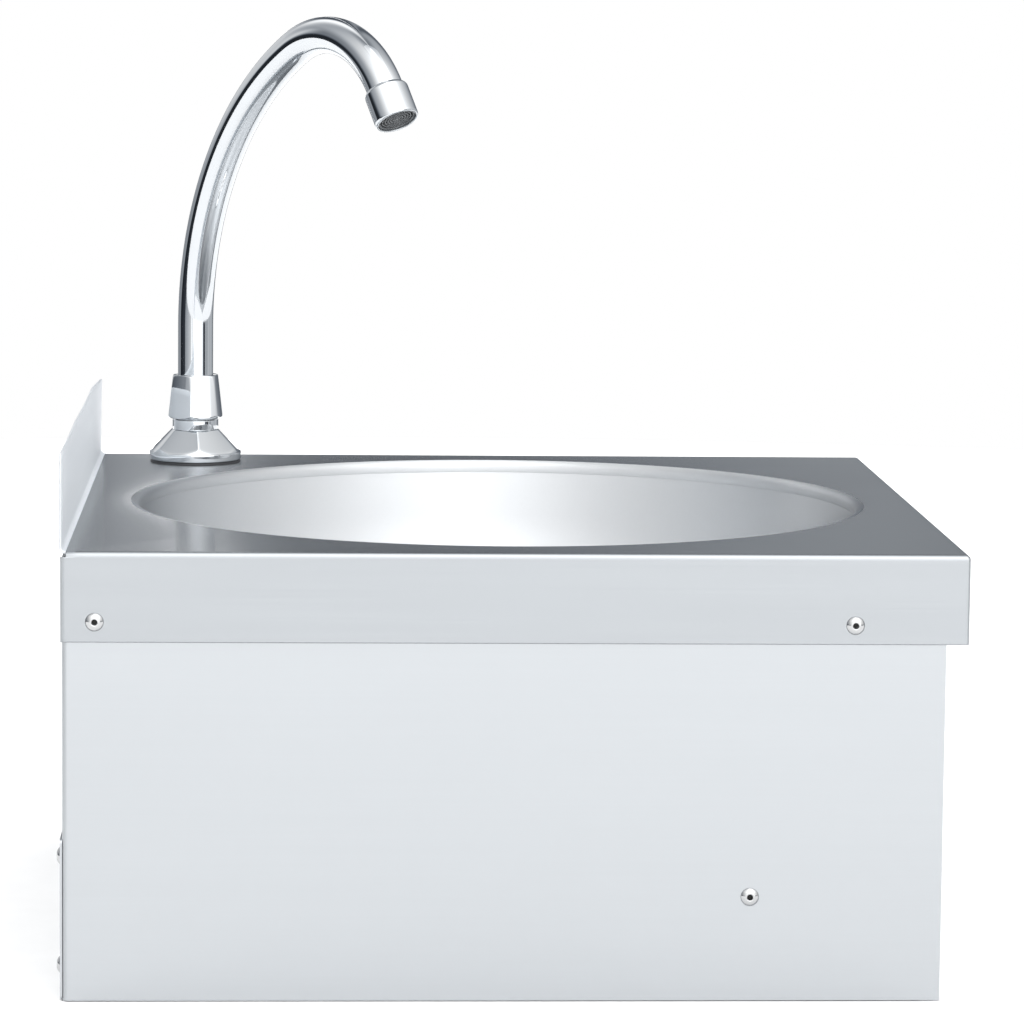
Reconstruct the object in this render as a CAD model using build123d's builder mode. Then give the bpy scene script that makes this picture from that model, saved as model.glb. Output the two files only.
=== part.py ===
from build123d import *
import os
from math import cos, radians, sin, tan

# Knee-operated wall sink: a folded deck with a round bowl on a rivetted sheet casing, a swivelling
# swan-neck spout, and a hinged knee panel that presses a self-closing water valve.
# Row frame, millimetres: +Z up, the user stands at -Y, the wall is at +Y, +X is the user's right.
# The origin is under the middle of the casing, at the casing's bottom edge.

os.makedirs("parts", exist_ok=True)

# ---- driving dimensions -------------------------------------------------------------------------
WIDTH = 400.0                # across the deck, along X
DEPTH = 400.0                # front to wall, along Y
DECK_TOP = 200.0             # height of the deck's top face
SHEET = 1.0                  # stainless sheet thickness
SKIRT = 40.0                 # folded-down edge of the deck
UPSTAND = 43.0               # backsplash above the deck
BEND = 2.5                   # outer bend radius of the deck's edges
FOLD = 2.0                   # inside radius of the fold between deck and backsplash
POST = 1.5                   # outer radius of the deck's two front corners
GAP = 0.3                    # clearance between faces on different bodies
RUN = 0.05                   # radial clearance of a shaft in its hole
THICK = 1.5                  # thicker sheet of the wall rail and the brackets

HALF_W = WIDTH / 2
HALF_D = DEPTH / 2
SKIRT_LOW = DECK_TOP - SKIRT
DECK_UNDER = DECK_TOP - SHEET

# bowl
BOWL_R = 172.0               # inside radius at the top of the wall
LIP = 3.0                    # radius of the rolled lip where deck turns into bowl
LIP_LOW = 194.0              # lower edge of the deck's rolled lip, where the bowl is welded on
BOWL_KNEE = 172.0            # height where the steep wall starts to curve in
BOWL_HEEL = 80.0             # radius of that curve
BOWL_FALL = 8.0              # slope of the floor towards the waste, degrees
WALL_LEAN = 1.5              # how far the steep wall leans in from its top to the knee
BOWL_TURN = 78.1             # angle that the heel turns through, from wall to floor
DISH_R = 39.0                # edge of the shallow dish that takes the waste flange
DISH_Z = 86.0                # floor of that dish
BOWL_HOLE = 25.5
WASTE_R = 23.9               # outside radius of the waste tail, a G 1 1/2 thread

# casing
CASE_X = HALF_W - SHEET      # outside face of each side panel
CASE_FRONT = -190.0
CASE_BACK = HALF_D - SHEET
CASE_DROP = 2.0              # how far the casing's top edge stops below the deck's sheet
FLANGE = 22.0                # rear flange of each side panel
RETURN = 12.0                # depth of a stiffening return along a horizontal edge
PLATE_TOP = 72.0             # top edge of the lower back plate
RAIL_LOW, RAIL_TOP = 150.0, 192.0

# blind rivets
RIVET_R = 2.0
RIVET_HOLE = 2.1
RIVET_HEAD = 4.1
RIVET_RISE = 2.0
SKIRT_RIVETS = [(184.6, 169.0), (-149.4, 168.5)]
BRACKET_RIVET = (-104.7, 46.8)
PLATE_RIVETS = [(sx * 188.0, z) for sx in (-1, 1) for z in (14.0, 63.0)]

# knee panel, its hinge and its stops
HINGE_Y, HINGE_Z = -182.0, 176.0
HINGE_R = 3.0
PANEL_X = 196.5
PANEL_FRONT = -189.5
PANEL_LOW, PANEL_TOP = 3.0, 192.0
STOP_X = 165.0
STOP_Z = 187.0
STOP_LOW = 182.0             # lower edge of each stop bracket

# valve, on an axis along Y at the height of the bracket rivets
VALVE_Z = 47.0
WEB_Y = -125.0               # front face of the bracket's web
STEM_R = 4.0
SEAT_Y = -98.0               # back face of the valve seat
G_HALF_R = 10.48             # outside radius of a G 1/2 thread

# tap
TAP_X, TAP_Y = 164.0, 149.0
TAP_HOLE = 11.0
TUBE_R = 9.0
TUBE_WALL = 1.0
SPOUT_TURN = 36.0            # plan angle of the spout, from -X towards the user
RISE_Z = 270.0               # where the straight part of the spout ends
SWEEP_R, CREST_R = 163.0, 56.0
SWEEP_END, CREST_END = 27.5, -57.0
NOSE = 18.0                  # length of the aerator housing

# supply hose
HOSE_R = 6.5
HOSE_BENDS = [90.0, 75.0]    # radius at each of its two corners
HOSE_PORT_Y = -110.0         # where the valve's outlet leaves it


def keep(piece, name):
    """Label a finished piece and write its STEP file."""
    piece.label = name
    export_step(piece, f"parts/{name}.step")


def ring(r_out, r_in, plane, height):
    """A plain ring standing on a plane, as a part of its own."""
    with BuildPart() as washer:
        with BuildSketch(plane):
            Circle(r_out)
            Circle(r_in, mode=Mode.SUBTRACT)
        extrude(amount=height)
    return washer.part


def blind_rivet(plane, grip):
    """A set blind rivet: domed head on the plane, shank through the sheets, bulged tail behind."""
    with BuildPart() as rivet:
        with BuildSketch(Plane.XZ):
            with BuildLine():
                Polyline((1.5, 1.2), (1.5, RIVET_RISE))
                ThreePointArc((1.5, RIVET_RISE), (3.2, 1.35), (RIVET_HEAD, 0.35))
                Polyline((RIVET_HEAD, 0.35), (RIVET_HEAD, 0), (RIVET_R, 0), (RIVET_R, -grip))
                ThreePointArc((RIVET_R, -grip), (3.1, -grip - 1.6), (RIVET_R, -grip - 3.4))
                Polyline((RIVET_R, -grip - 3.4), (0, -grip - 3.8), (0, 1.2), (1.5, 1.2))
            make_face()
        revolve(axis=Axis.Z)
    return rivet.part.moved(plane.location)


# ---- deck ---------------------------------------------------------------------------------------
TRAY_BACK = HALF_D - SHEET - FOLD   # where the flat deck ends and the fold starts
TURN = sin(radians(45))
LAP = 3.0                            # overlap that joins the lip or the fold to the flat deck
EDGE_TRIM = 0.2                      # how far each end of the backsplash stops inside the skirts
SKIRT_RUN = 2.5                      # length of skirt behind the fold
with BuildPart() as sink_deck:
    with BuildSketch(Plane.XY.offset(SKIRT_LOW)):
        with Locations((0, (TRAY_BACK - HALF_D) / 2)):
            Rectangle(WIDTH, TRAY_BACK + HALF_D)
    extrude(amount=SKIRT)
    front_posts = sink_deck.edges().filter_by(Axis.Z).group_by(Axis.Y)[0]
    fillet(front_posts, POST)
    top_rim = sink_deck.faces().sort_by(Axis.Z)[-1].edges().sort_by(Axis.Y)[:-1]
    fillet(top_rim, BEND)
    with BuildPart(mode=Mode.PRIVATE) as hollow:
        with BuildSketch(Plane.XY.offset(SKIRT_LOW)):
            with Locations((0, TRAY_BACK / 2 - HALF_D / 2 + SHEET)):
                Rectangle(WIDTH - 2 * SHEET, TRAY_BACK + HALF_D)
        extrude(amount=SKIRT - SHEET)
        inner_posts = hollow.edges().filter_by(Axis.Z).group_by(Axis.Y)[0]
        fillet(inner_posts, POST - SHEET)
        inner_rim = hollow.faces().sort_by(Axis.Z)[-1].edges().sort_by(Axis.Y)[:-1]
        fillet(inner_rim, BEND - SHEET)
    add(hollow.part, mode=Mode.SUBTRACT)
    # backsplash, folded up from the back of the deck
    with BuildSketch(Plane.YZ):
        with BuildLine():
            back, top = HALF_D, DECK_TOP + UPSTAND
            fold_z = DECK_TOP + FOLD
            outer_fold = FOLD + SHEET
            Line((TRAY_BACK - LAP, DECK_UNDER), (TRAY_BACK, DECK_UNDER))
            ThreePointArc(
                (TRAY_BACK, DECK_UNDER),
                (TRAY_BACK + outer_fold * TURN, fold_z - outer_fold * TURN),
                (back, fold_z),
            )
            Polyline((back, fold_z), (back, top), (back - SHEET, top), (back - SHEET, fold_z))
            ThreePointArc(
                (back - SHEET, fold_z),
                (TRAY_BACK + FOLD * TURN, fold_z - FOLD * TURN),
                (TRAY_BACK, DECK_TOP),
            )
            Polyline((TRAY_BACK, DECK_TOP), (TRAY_BACK - LAP, DECK_TOP), (TRAY_BACK - LAP, DECK_UNDER))
        make_face()
    extrude(amount=HALF_W - EDGE_TRIM, both=True)
    # the side skirts run on to the wall below the backsplash
    for sx in (-1, 1):
        with BuildSketch(Plane.XY.offset(SKIRT_LOW)):
            with Locations((sx * (HALF_W - SHEET / 2), TRAY_BACK + SKIRT_RUN / 2)):
                Rectangle(SHEET, SKIRT_RUN)
        extrude(amount=SKIRT - BEND)
    # bowl opening with its rolled-down lip
    with BuildSketch(Plane.XY.offset(DECK_UNDER - 1)):
        Circle(BOWL_R + LIP + LAP)
    extrude(amount=SHEET + 2, mode=Mode.SUBTRACT)
    with BuildSketch(Plane.XZ):
        with BuildLine():
            r0, r1, r2 = BOWL_R, BOWL_R + SHEET, BOWL_R + LIP
            under = LIP - SHEET
            Polyline((r0, LIP_LOW), (r0, DECK_TOP - LIP))
            ThreePointArc(
                (r0, DECK_TOP - LIP), (r2 - LIP * TURN, DECK_TOP - LIP + LIP * TURN), (r2, DECK_TOP)
            )
            Polyline((r2, DECK_TOP), (r2 + LAP, DECK_TOP), (r2 + LAP, DECK_UNDER), (r2, DECK_UNDER))
            ThreePointArc(
                (r2, DECK_UNDER),
                (r2 - under * TURN, DECK_UNDER - under + under * TURN),
                (r1, DECK_UNDER - under),
            )
            Polyline((r1, DECK_UNDER - under), (r1, LIP_LOW), (r0, LIP_LOW))
        make_face()
    revolve(axis=Axis.Z)
    # tap hole and rivet holes
    with Locations(Plane.XY.offset(DECK_TOP)):
        with Locations((TAP_X, TAP_Y)):
            Hole(TAP_HOLE, depth=6)
    for y, z in SKIRT_RIVETS:
        with BuildSketch(Plane.YZ):
            with Locations((y, z)):
                Circle(RIVET_HOLE)
        extrude(amount=WIDTH, both=True, mode=Mode.SUBTRACT)
keep(sink_deck.part, "sink_deck")

# ---- bowl ---------------------------------------------------------------------------------------
def bowl_side(skin):
    """One side of the bowl's section, inside for skin 0 and outside for skin SHEET."""
    wall = Line((BOWL_R + skin, LIP_LOW), (BOWL_R - WALL_LEAN + skin, BOWL_KNEE))
    heel = JernArc(wall @ 1, wall % 1, BOWL_HEEL + skin, -BOWL_TURN)
    run = heel @ 1
    floor = Line(run, (DISH_R, run.Y - (run.X - DISH_R) * tan(radians(BOWL_FALL))))
    return floor @ 1


with BuildPart() as sink_bowl:
    with BuildSketch(Plane.XZ):
        with BuildLine():
            inner = bowl_side(0)
            outer = bowl_side(SHEET)
            Polyline(
                inner, (DISH_R - 2, DISH_Z), (BOWL_HOLE, DISH_Z), (BOWL_HOLE, DISH_Z - SHEET),
                (DISH_R - 1.5, DISH_Z - SHEET), outer,
            )
            Line((BOWL_R, LIP_LOW), (BOWL_R + SHEET, LIP_LOW))
        make_face()
    revolve(axis=Axis.Z)
keep(sink_bowl.part, "sink_bowl")

# ---- casing -------------------------------------------------------------------------------------
SIDES = {"left": -1, "right": 1}
for side, sx in SIDES.items():
    with BuildPart() as side_panel:
        # an L in plan: the panel and the flange that it turns into against the wall
        with BuildSketch(Plane.XY):
            with BuildLine():
                corner = FilletPolyline(
                    (sx * CASE_X, CASE_FRONT),
                    (sx * CASE_X, CASE_BACK),
                    (sx * (CASE_X - FLANGE), CASE_BACK),
                    radius=BEND,
                )
                inner_corner = FilletPolyline(
                    (sx * (CASE_X - SHEET), CASE_FRONT),
                    (sx * (CASE_X - SHEET), CASE_BACK - SHEET),
                    (sx * (CASE_X - FLANGE), CASE_BACK - SHEET),
                    radius=BEND - SHEET,
                )
                Line(corner @ 0, inner_corner @ 0)
                Line(corner @ 1, inner_corner @ 1)
            make_face()
        extrude(amount=DECK_UNDER - CASE_DROP)
        holes = SKIRT_RIVETS + [BRACKET_RIVET]
        with BuildSketch(Plane.YZ.offset(sx * (CASE_X - 3))):
            with Locations(*holes):
                Circle(RIVET_HOLE)
            with Locations((HINGE_Y, HINGE_Z)):
                Circle(HINGE_R + RUN)
        extrude(amount=sx * 5, mode=Mode.SUBTRACT)
        rear_holes = [place for place in PLATE_RIVETS if place[0] * sx > 0]
        with BuildSketch(Plane.XZ.offset(-CASE_BACK - 1)):
            with Locations(*rear_holes):
                Circle(RIVET_HOLE)
        extrude(amount=3, mode=Mode.SUBTRACT)
    keep(side_panel.part, f"side_panel_{side}")

with BuildPart() as lower_back_plate:
    with BuildSketch(Plane.XZ.offset(-CASE_BACK)):
        with Locations((0, PLATE_TOP / 2)):
            RectangleRounded(2 * (CASE_X - 1.5), PLATE_TOP, 2.0)
        with Locations(*PLATE_RIVETS):
            Circle(RIVET_HOLE, mode=Mode.SUBTRACT)
    extrude(amount=-SHEET)
    # stiffening return along the top edge, between the side flanges
    with BuildSketch(Plane.XY.offset(PLATE_TOP - SHEET)):
        with Locations((0, CASE_BACK - RETURN / 2 + SHEET)):
            Rectangle(2 * (CASE_X - FLANGE - 1), RETURN)
    extrude(amount=SHEET)
keep(lower_back_plate.part, "lower_back_plate")

# screws into the wall
HANG_SPACING = 280.0
HANG_Z = 171.0
HANG_R = 4.0
with BuildPart() as upper_wall_rail:
    rail_back = CASE_BACK - SHEET
    with BuildSketch(Plane.XZ.offset(-rail_back)):
        with Locations((0, (RAIL_LOW + RAIL_TOP) / 2)):
            Rectangle(2 * (CASE_X - 3), RAIL_TOP - RAIL_LOW)
        with Locations((-HANG_SPACING / 2, HANG_Z), (HANG_SPACING / 2, HANG_Z)):
            Circle(HANG_R, mode=Mode.SUBTRACT)
    extrude(amount=THICK)
    with BuildSketch(Plane.XY.offset(RAIL_LOW)):
        with Locations((0, rail_back - RETURN / 2)):
            Rectangle(2 * (CASE_X - FLANGE - 1), RETURN)
    extrude(amount=THICK)
keep(upper_wall_rail.part, "upper_wall_rail")


def outward(sx, x, y, z):
    """A plane on the outside of a side, its normal pointing away from the sink."""
    return Plane(origin=(sx * x, y, z), x_dir=(0, 1, 0), z_dir=(sx, 0, 0))


deck_rivets = [
    blind_rivet(outward(sx, HALF_W, y, z), 2 * SHEET) for sx in (-1, 1) for y, z in SKIRT_RIVETS
]
keep(Compound(children=deck_rivets), "deck_rivets")

bracket_rivets = [blind_rivet(outward(sx, CASE_X, *BRACKET_RIVET), SHEET + THICK) for sx in (-1, 1)]
keep(Compound(children=bracket_rivets), "bracket_rivets")

back_rivets = [
    blind_rivet(Plane(origin=(x, HALF_D, z), x_dir=(1, 0, 0), z_dir=(0, 1, 0)), 2 * SHEET)
    for x, z in PLATE_RIVETS
]
keep(Compound(children=back_rivets), "back_rivets")

# ---- waste fitting ------------------------------------------------------------------------------
FLANGE_TOP = DISH_Z + 2.5
FLANGE_R = 35.5              # outside of the strainer's flange
WASTE_BORE = 20.5            # inside radius of the waste tail
WASTE_END = 14.0
WASTE_NECK = 48.0            # height of the groove above the waste thread
GRID_TOP = DISH_Z - 4.0
GRID_LOW = DISH_Z - 5.5
SCREW_HOLE = 2.6
with BuildPart() as strainer_flange:
    with BuildSketch(Plane.XZ):
        with BuildLine():
            Polyline((0, GRID_TOP), (0, GRID_LOW), (22.0, GRID_LOW), (22.0, DISH_Z + 1.0))
            Polyline((22.0, DISH_Z + 1.0), (FLANGE_R, DISH_Z + 1.0), (FLANGE_R, FLANGE_TOP - 0.8))
            ThreePointArc((FLANGE_R, FLANGE_TOP - 0.8), (34.0, FLANGE_TOP), (31.0, FLANGE_TOP - 0.2))
            Polyline((31.0, FLANGE_TOP - 0.2), (21.6, DISH_Z + 2.0), (WASTE_BORE, DISH_Z + 1.0))
            Polyline((WASTE_BORE, DISH_Z + 1.0), (WASTE_BORE, GRID_TOP), (0, GRID_TOP))
        make_face()
    revolve(axis=Axis.Z)
    # grid: a ring of eight round holes and a ring of four, round the screw
    with BuildSketch(Plane.XY.offset(DISH_Z - 6)):
        with PolarLocations(15.0, 8):
            Circle(4.0)
        with PolarLocations(7.6, 4, start_angle=22.5):
            Circle(2.2)
        Circle(SCREW_HOLE)
    extrude(amount=3, mode=Mode.SUBTRACT)
keep(strainer_flange.part, "strainer_flange")

keep(ring(35.0, 25.0, Plane.XY.offset(DISH_Z), 1.0), "waste_top_gasket")

with BuildPart() as waste_body:
    with BuildSketch(Plane.XY.offset(WASTE_END)):
        Circle(WASTE_R)
        Circle(WASTE_BORE, mode=Mode.SUBTRACT)
    extrude(amount=GRID_LOW - 0.5 - WASTE_END)
    # the tail below this groove is the thread that takes the waste pipe
    with BuildSketch(Plane.XY.offset(WASTE_NECK)):
        Circle(WASTE_R + 1)
        Circle(WASTE_R - 1, mode=Mode.SUBTRACT)
    extrude(amount=2.0, mode=Mode.SUBTRACT)
    # spider that the centre screw pulls on
    with BuildSketch(Plane.XY.offset(62.0)):
        Rectangle(43.0, 5.0)
        Rectangle(5.0, 43.0)
        Circle(6.0)
        Circle(SCREW_HOLE, mode=Mode.SUBTRACT)
    extrude(amount=5.0)
    chamfer(waste_body.faces().sort_by(Axis.Z)[0].edges(), 0.8)
keep(waste_body.part, "waste_body")

WASHER = 3.0
BACKNUT_TOP = DISH_Z - SHEET - WASHER
keep(ring(34.0, WASTE_R + 0.1, Plane.XY.offset(BACKNUT_TOP), WASHER), "waste_under_washer")

with BuildPart() as waste_backnut:
    with BuildSketch(Plane.XY.offset(BACKNUT_TOP - 2.0)):
        Circle(33.0)
        Circle(WASTE_R, mode=Mode.SUBTRACT)
    extrude(amount=2.0)
    with BuildSketch(Plane.XY.offset(BACKNUT_TOP - 12.0)):
        RegularPolygon(29.5, 6, major_radius=False)
        Circle(WASTE_R, mode=Mode.SUBTRACT)
    extrude(amount=10.0)
keep(waste_backnut.part, "waste_backnut")

SCREW_END = 58.0
with BuildPart() as waste_screw:
    with BuildSketch(Plane.XZ):
        with BuildLine():
            head = GRID_TOP
            Polyline((0, SCREW_END), (2.5, SCREW_END), (2.5, head), (5.0, head), (5.0, head + 1.0))
            ThreePointArc((5.0, head + 1.0), (3.0, head + 2.2), (0, head + 2.6))
            Line((0, head + 2.6), (0, SCREW_END))
        make_face()
    revolve(axis=Axis.Z)
    with BuildSketch(Plane.XY.offset(head + 1.6)):
        Rectangle(10.0, 1.2)
    extrude(amount=2.0, mode=Mode.SUBTRACT)
keep(waste_screw.part, "waste_screw")

# ---- tap base, its nut and its fixings ----------------------------------------------------------
tap_axis = Axis((TAP_X, TAP_Y, 0), (0, 0, 1))
tap_section = Plane(origin=(TAP_X, TAP_Y, 0), x_dir=(1, 0, 0), z_dir=(0, -1, 0))
TAP_SEAT = DECK_TOP + 1.5            # top of the black gasket
RIM_TOP = TAP_SEAT + 4.0
CONE_TOP = 217.0
COLLAR_TOP = 222.0
NECK_TOP = 232.0
NUT_LOW, NUT_TOP = 222.6, 245.0
TAIL_END = 150.0
SOCKET_R = 7.5               # bore that the spout's foot turns in
SOCKET_LOW = 210.0
WATERWAY = 6.5


def tap_level(z):
    """A horizontal plane centred on the tap."""
    return Plane(origin=(TAP_X, TAP_Y, z), x_dir=(1, 0, 0), z_dir=(0, 0, 1))


with BuildPart() as tap_base:
    with BuildSketch(tap_level(TAP_SEAT)):
        Circle(23.5)
    extrude(amount=RIM_TOP - TAP_SEAT)
    chamfer(tap_base.faces().sort_by(Axis.Z)[-1].edges(), 0.5)
    # six-sided cone, one corner nearly towards the left side of the sink
    with BuildPart(mode=Mode.PRIVATE) as facets:
        with BuildSketch(tap_level(RIM_TOP - 0.6)):
            RegularPolygon(26.0, 6, rotation=6)
        with BuildSketch(tap_level(CONE_TOP)):
            RegularPolygon(13.0, 6, rotation=6)
        loft()
        with BuildSketch(tap_level(RIM_TOP - 0.6)):
            Circle(23.0)
        extrude(amount=CONE_TOP - RIM_TOP + 0.6, mode=Mode.INTERSECT)
    add(facets.part)
    with BuildSketch(tap_level(CONE_TOP - 1.0)):
        Circle(11.75)
    extrude(amount=COLLAR_TOP - CONE_TOP + 1.0)
    chamfer(tap_base.faces().sort_by(Axis.Z)[-1].edges(), 0.4)
    with BuildSketch(tap_level(COLLAR_TOP)):
        Circle(10.0)
    extrude(amount=NECK_TOP - COLLAR_TOP)
    with BuildSketch(tap_level(TAIL_END)):
        Circle(G_HALF_R)
    extrude(amount=TAP_SEAT - TAIL_END)
    with BuildSketch(tap_level(TAIL_END)):
        Circle(WATERWAY)
    extrude(amount=NECK_TOP - TAIL_END, mode=Mode.SUBTRACT)
    with BuildSketch(tap_level(SOCKET_LOW)):
        Circle(SOCKET_R)
    extrude(amount=NECK_TOP - SOCKET_LOW, mode=Mode.SUBTRACT)
keep(tap_base.part, "tap_base")

keep(ring(23.0, TAP_HOLE, tap_level(DECK_TOP), TAP_SEAT - DECK_TOP), "tap_gasket")
keep(ring(18.0, TAP_HOLE, tap_level(DECK_UNDER - 2.5), 2.5), "tap_under_washer")
keep(ring(18.0, TAP_HOLE, tap_level(DECK_UNDER - 4.0), 1.5), "tap_steel_washer")

with BuildPart() as tap_backnut:
    with BuildSketch(tap_level(DECK_UNDER - 13.0)):
        RegularPolygon(15.0, 6, major_radius=False)
        Circle(G_HALF_R, mode=Mode.SUBTRACT)
    extrude(amount=9.0)
keep(tap_backnut.part, "tap_backnut")

FOOT_TOP = 235.3
with BuildPart() as spout_nut:
    with BuildPart(mode=Mode.PRIVATE) as hexagon:
        with BuildSketch(tap_level(NUT_LOW)):
            RegularPolygon(15.2, 6, rotation=-9)
        with BuildSketch(tap_level(NUT_TOP)):
            RegularPolygon(12.4, 6, rotation=-9)
        loft()
    # the lower corners are turned off to a cone, which scallops the flats
    with BuildSketch(tap_section):
        with BuildLine():
            Polyline(
                (0, NUT_LOW), (13.6, NUT_LOW), (15.0, NUT_LOW + 1.4), (12.1, NUT_TOP - 0.6),
                (11.2, NUT_TOP), (0, NUT_TOP), (0, NUT_LOW),
            )
        make_face()
    revolve(axis=tap_axis)
    add(hexagon.part, mode=Mode.INTERSECT)
    with BuildSketch(tap_level(NUT_LOW)):
        Circle(10.0)
    extrude(amount=14.9, mode=Mode.SUBTRACT)
    with BuildSketch(tap_level(NUT_LOW)):
        Circle(TUBE_R + 0.1)
    extrude(amount=NUT_TOP - NUT_LOW, mode=Mode.SUBTRACT)
keep(spout_nut.part, "spout_nut")

keep(ring(9.8, TUBE_R + RUN, tap_level(FOOT_TOP + 0.2), 1.6), "spout_slip_ring")

# ---- spout --------------------------------------------------------------------------------------
lean = (-cos(radians(SPOUT_TURN)), -sin(radians(SPOUT_TURN)), 0)
spout_plane = Plane(origin=(TAP_X, TAP_Y, 0), x_dir=lean, z_dir=(lean[1], -lean[0], 0))

with BuildPart() as spout_foot:
    with BuildSketch(tap_section):
        with BuildLine():
            Polyline(
                (5.0, 212.0), (SOCKET_R - RUN, 212.0), (SOCKET_R - RUN, 217.0), (6.2, 217.0),
                (6.2, 219.4), (SOCKET_R - RUN, 219.4), (SOCKET_R - RUN, 224.0), (6.2, 224.0),
                (6.2, 226.4), (SOCKET_R - RUN, 226.4), (SOCKET_R - RUN, 232.5), (9.7, 232.5),
                (9.7, FOOT_TOP), (TUBE_R - TUBE_WALL, FOOT_TOP), (TUBE_R - TUBE_WALL, 243.0),
                (5.0, 243.0), (5.0, 212.0),
            )
        make_face()
    revolve(axis=tap_axis)
keep(spout_foot.part, "spout_foot")

foot_orings = []
for groove in (218.2, 225.2):
    with BuildPart() as o_ring:
        with BuildSketch(tap_section):
            with Locations((6.83, groove)):
                Circle(0.63)
        revolve(axis=tap_axis)
    foot_orings.append(o_ring.part)
keep(Compound(children=foot_orings), "spout_orings")

with BuildPart() as spout_tube:
    with BuildLine(spout_plane) as spout_line:
        rise = Line((0, FOOT_TOP), (0, RISE_Z))
        sweep_arc = JernArc(rise @ 1, rise % 1, SWEEP_R, -(90 - SWEEP_END))
        crest_arc = JernArc(sweep_arc @ 1, sweep_arc % 1, CREST_R, CREST_END - SWEEP_END)
        tip = Line(crest_arc @ 1, crest_arc @ 1 + (crest_arc % 1) * 3.0)
    with BuildSketch(tap_level(FOOT_TOP)):
        Circle(TUBE_R)
        Circle(TUBE_R - TUBE_WALL, mode=Mode.SUBTRACT)
    sweep(path=spout_line.line)
keep(spout_tube.part, "spout_tube")

# ---- aerator ------------------------------------------------------------------------------------
nose_side = Vector(*lean).cross(Vector(0, 0, 1))
nose_section = Plane(origin=tip @ 1, x_dir=(tip % 1).cross(nose_side), z_dir=nose_side)
nose_out = Axis(tip @ 1, tip % 1)
NOSE_R = 10.9
NOSE_BORE = 9.6
with BuildPart() as aerator_housing:
    with BuildSketch(nose_section):
        with BuildLine():
            low = NOSE - 3.0
            Polyline(
                (TUBE_R, -3.0), (9.8, -3.0), (NOSE_R, -1.4), (NOSE_R, low - 0.6), (NOSE_R - 0.5, low),
                (NOSE_BORE, low), (NOSE_BORE, 1.0), (6.5, 1.0), (6.5, 0), (TUBE_R, 0), (TUBE_R, -3.0),
            )
        make_face()
    revolve(axis=nose_out)
keep(aerator_housing.part, "aerator_housing")

with BuildPart() as aerator_washer:
    with BuildSketch(nose_section):
        with Locations((8.0, 1.75)):
            Rectangle(3.0, 1.5)
    revolve(axis=nose_out)
keep(aerator_washer.part, "aerator_washer")

INSERT_FACE = NOSE - 4.0
with BuildPart() as aerator_insert:
    # outer cup, three concentric rings, and a cross that carries them
    with BuildSketch(nose_section):
        with Locations((8.8, (2.5 + INSERT_FACE) / 2)):
            Rectangle(1.5, INSERT_FACE - 2.5)
        for ring_r in (0.45, 2.6, 4.7, 6.8):
            with Locations((ring_r, INSERT_FACE - 1.5)):
                Rectangle(0.9, 2.0)
    revolve(axis=nose_out)
    with BuildSketch(Plane(origin=nose_out.position + nose_out.direction * (INSERT_FACE - 5.0),
                           z_dir=nose_out.direction)):
        Rectangle(17.0, 1.0)
        Rectangle(1.0, 17.0)
    extrude(amount=2.6)
keep(aerator_insert.part, "aerator_insert")

# ---- valve, worked by the push button ------------------------------------------------------------
valve_axis = Axis((0, 0, VALVE_Z), (0, 1, 0))
valve_section = Plane.XY.offset(VALVE_Z)
BODY_FRONT, BODY_BACK = -140.0, -66.0
NECK_R, BARREL_R = 12.0, 16.0
GUIDE_R = 6.0
CHAMBER_R = 11.0
OUTLET_END = 38.0
INLET_Y, INLET_END = -82.0, 9.0

with BuildPart() as valve_body:
    with BuildSketch(valve_section):
        with BuildLine():
            web_back = WEB_Y + THICK
            Polyline(
                (GUIDE_R, BODY_FRONT), (NECK_R - 0.8, BODY_FRONT), (NECK_R, BODY_FRONT + 0.8),
                (NECK_R, web_back), (18.0, web_back), (18.0, web_back + 5), (BARREL_R, web_back + 5),
                (BARREL_R, BODY_BACK), (CHAMBER_R, BODY_BACK), (CHAMBER_R, SEAT_Y), (GUIDE_R, SEAT_Y),
                (GUIDE_R, -102.0), (9.5, -102.0), (9.5, -118.0), (5.0, -118.0), (5.0, -119.0),
                (GUIDE_R, -119.0), (GUIDE_R, BODY_FRONT),
            )
        make_face()
    revolve(axis=valve_axis)
    with BuildPart(mode=Mode.PRIVATE) as ports:
        with BuildSketch(Plane.YZ.offset(14.0)):
            with Locations((HOSE_PORT_Y, VALVE_Z)):
                Circle(G_HALF_R)
        extrude(amount=OUTLET_END - 14.0)
        with BuildSketch(Plane.XY.offset(INLET_END)):
            with Locations((0, INLET_Y)):
                Circle(G_HALF_R)
        extrude(amount=VALVE_Z - 13.0 - INLET_END)
        # shoulder that the supply fitting tightens against
        with BuildSketch(Plane.XY.offset(INLET_END + 18.0)):
            with Locations((0, INLET_Y)):
                Circle(13.0)
        extrude(amount=7.0)
    add(ports.part)
    with BuildSketch(Plane.YZ.offset(5.0)):
        with Locations((HOSE_PORT_Y, VALVE_Z)):
            Circle(5.5)
    extrude(amount=OUTLET_END, mode=Mode.SUBTRACT)
    with BuildSketch(Plane.XY.offset(INLET_END)):
        with Locations((0, INLET_Y)):
            Circle(6.0)
    extrude(amount=VALVE_Z - INLET_END - 5.0, mode=Mode.SUBTRACT)
keep(valve_body.part, "valve_body")

with BuildPart() as valve_end_cap:
    with BuildSketch(Plane.XZ.offset(-BODY_BACK)):
        with Locations((0, VALVE_Z)):
            RegularPolygon(14.0, 6, major_radius=False)
    extrude(amount=-6.0)
    with BuildSketch(Plane.XZ.offset(-BODY_BACK)):
        with Locations((0, VALVE_Z)):
            Circle(CHAMBER_R)
    extrude(amount=5.0)
keep(valve_end_cap.part, "valve_end_cap")

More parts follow.
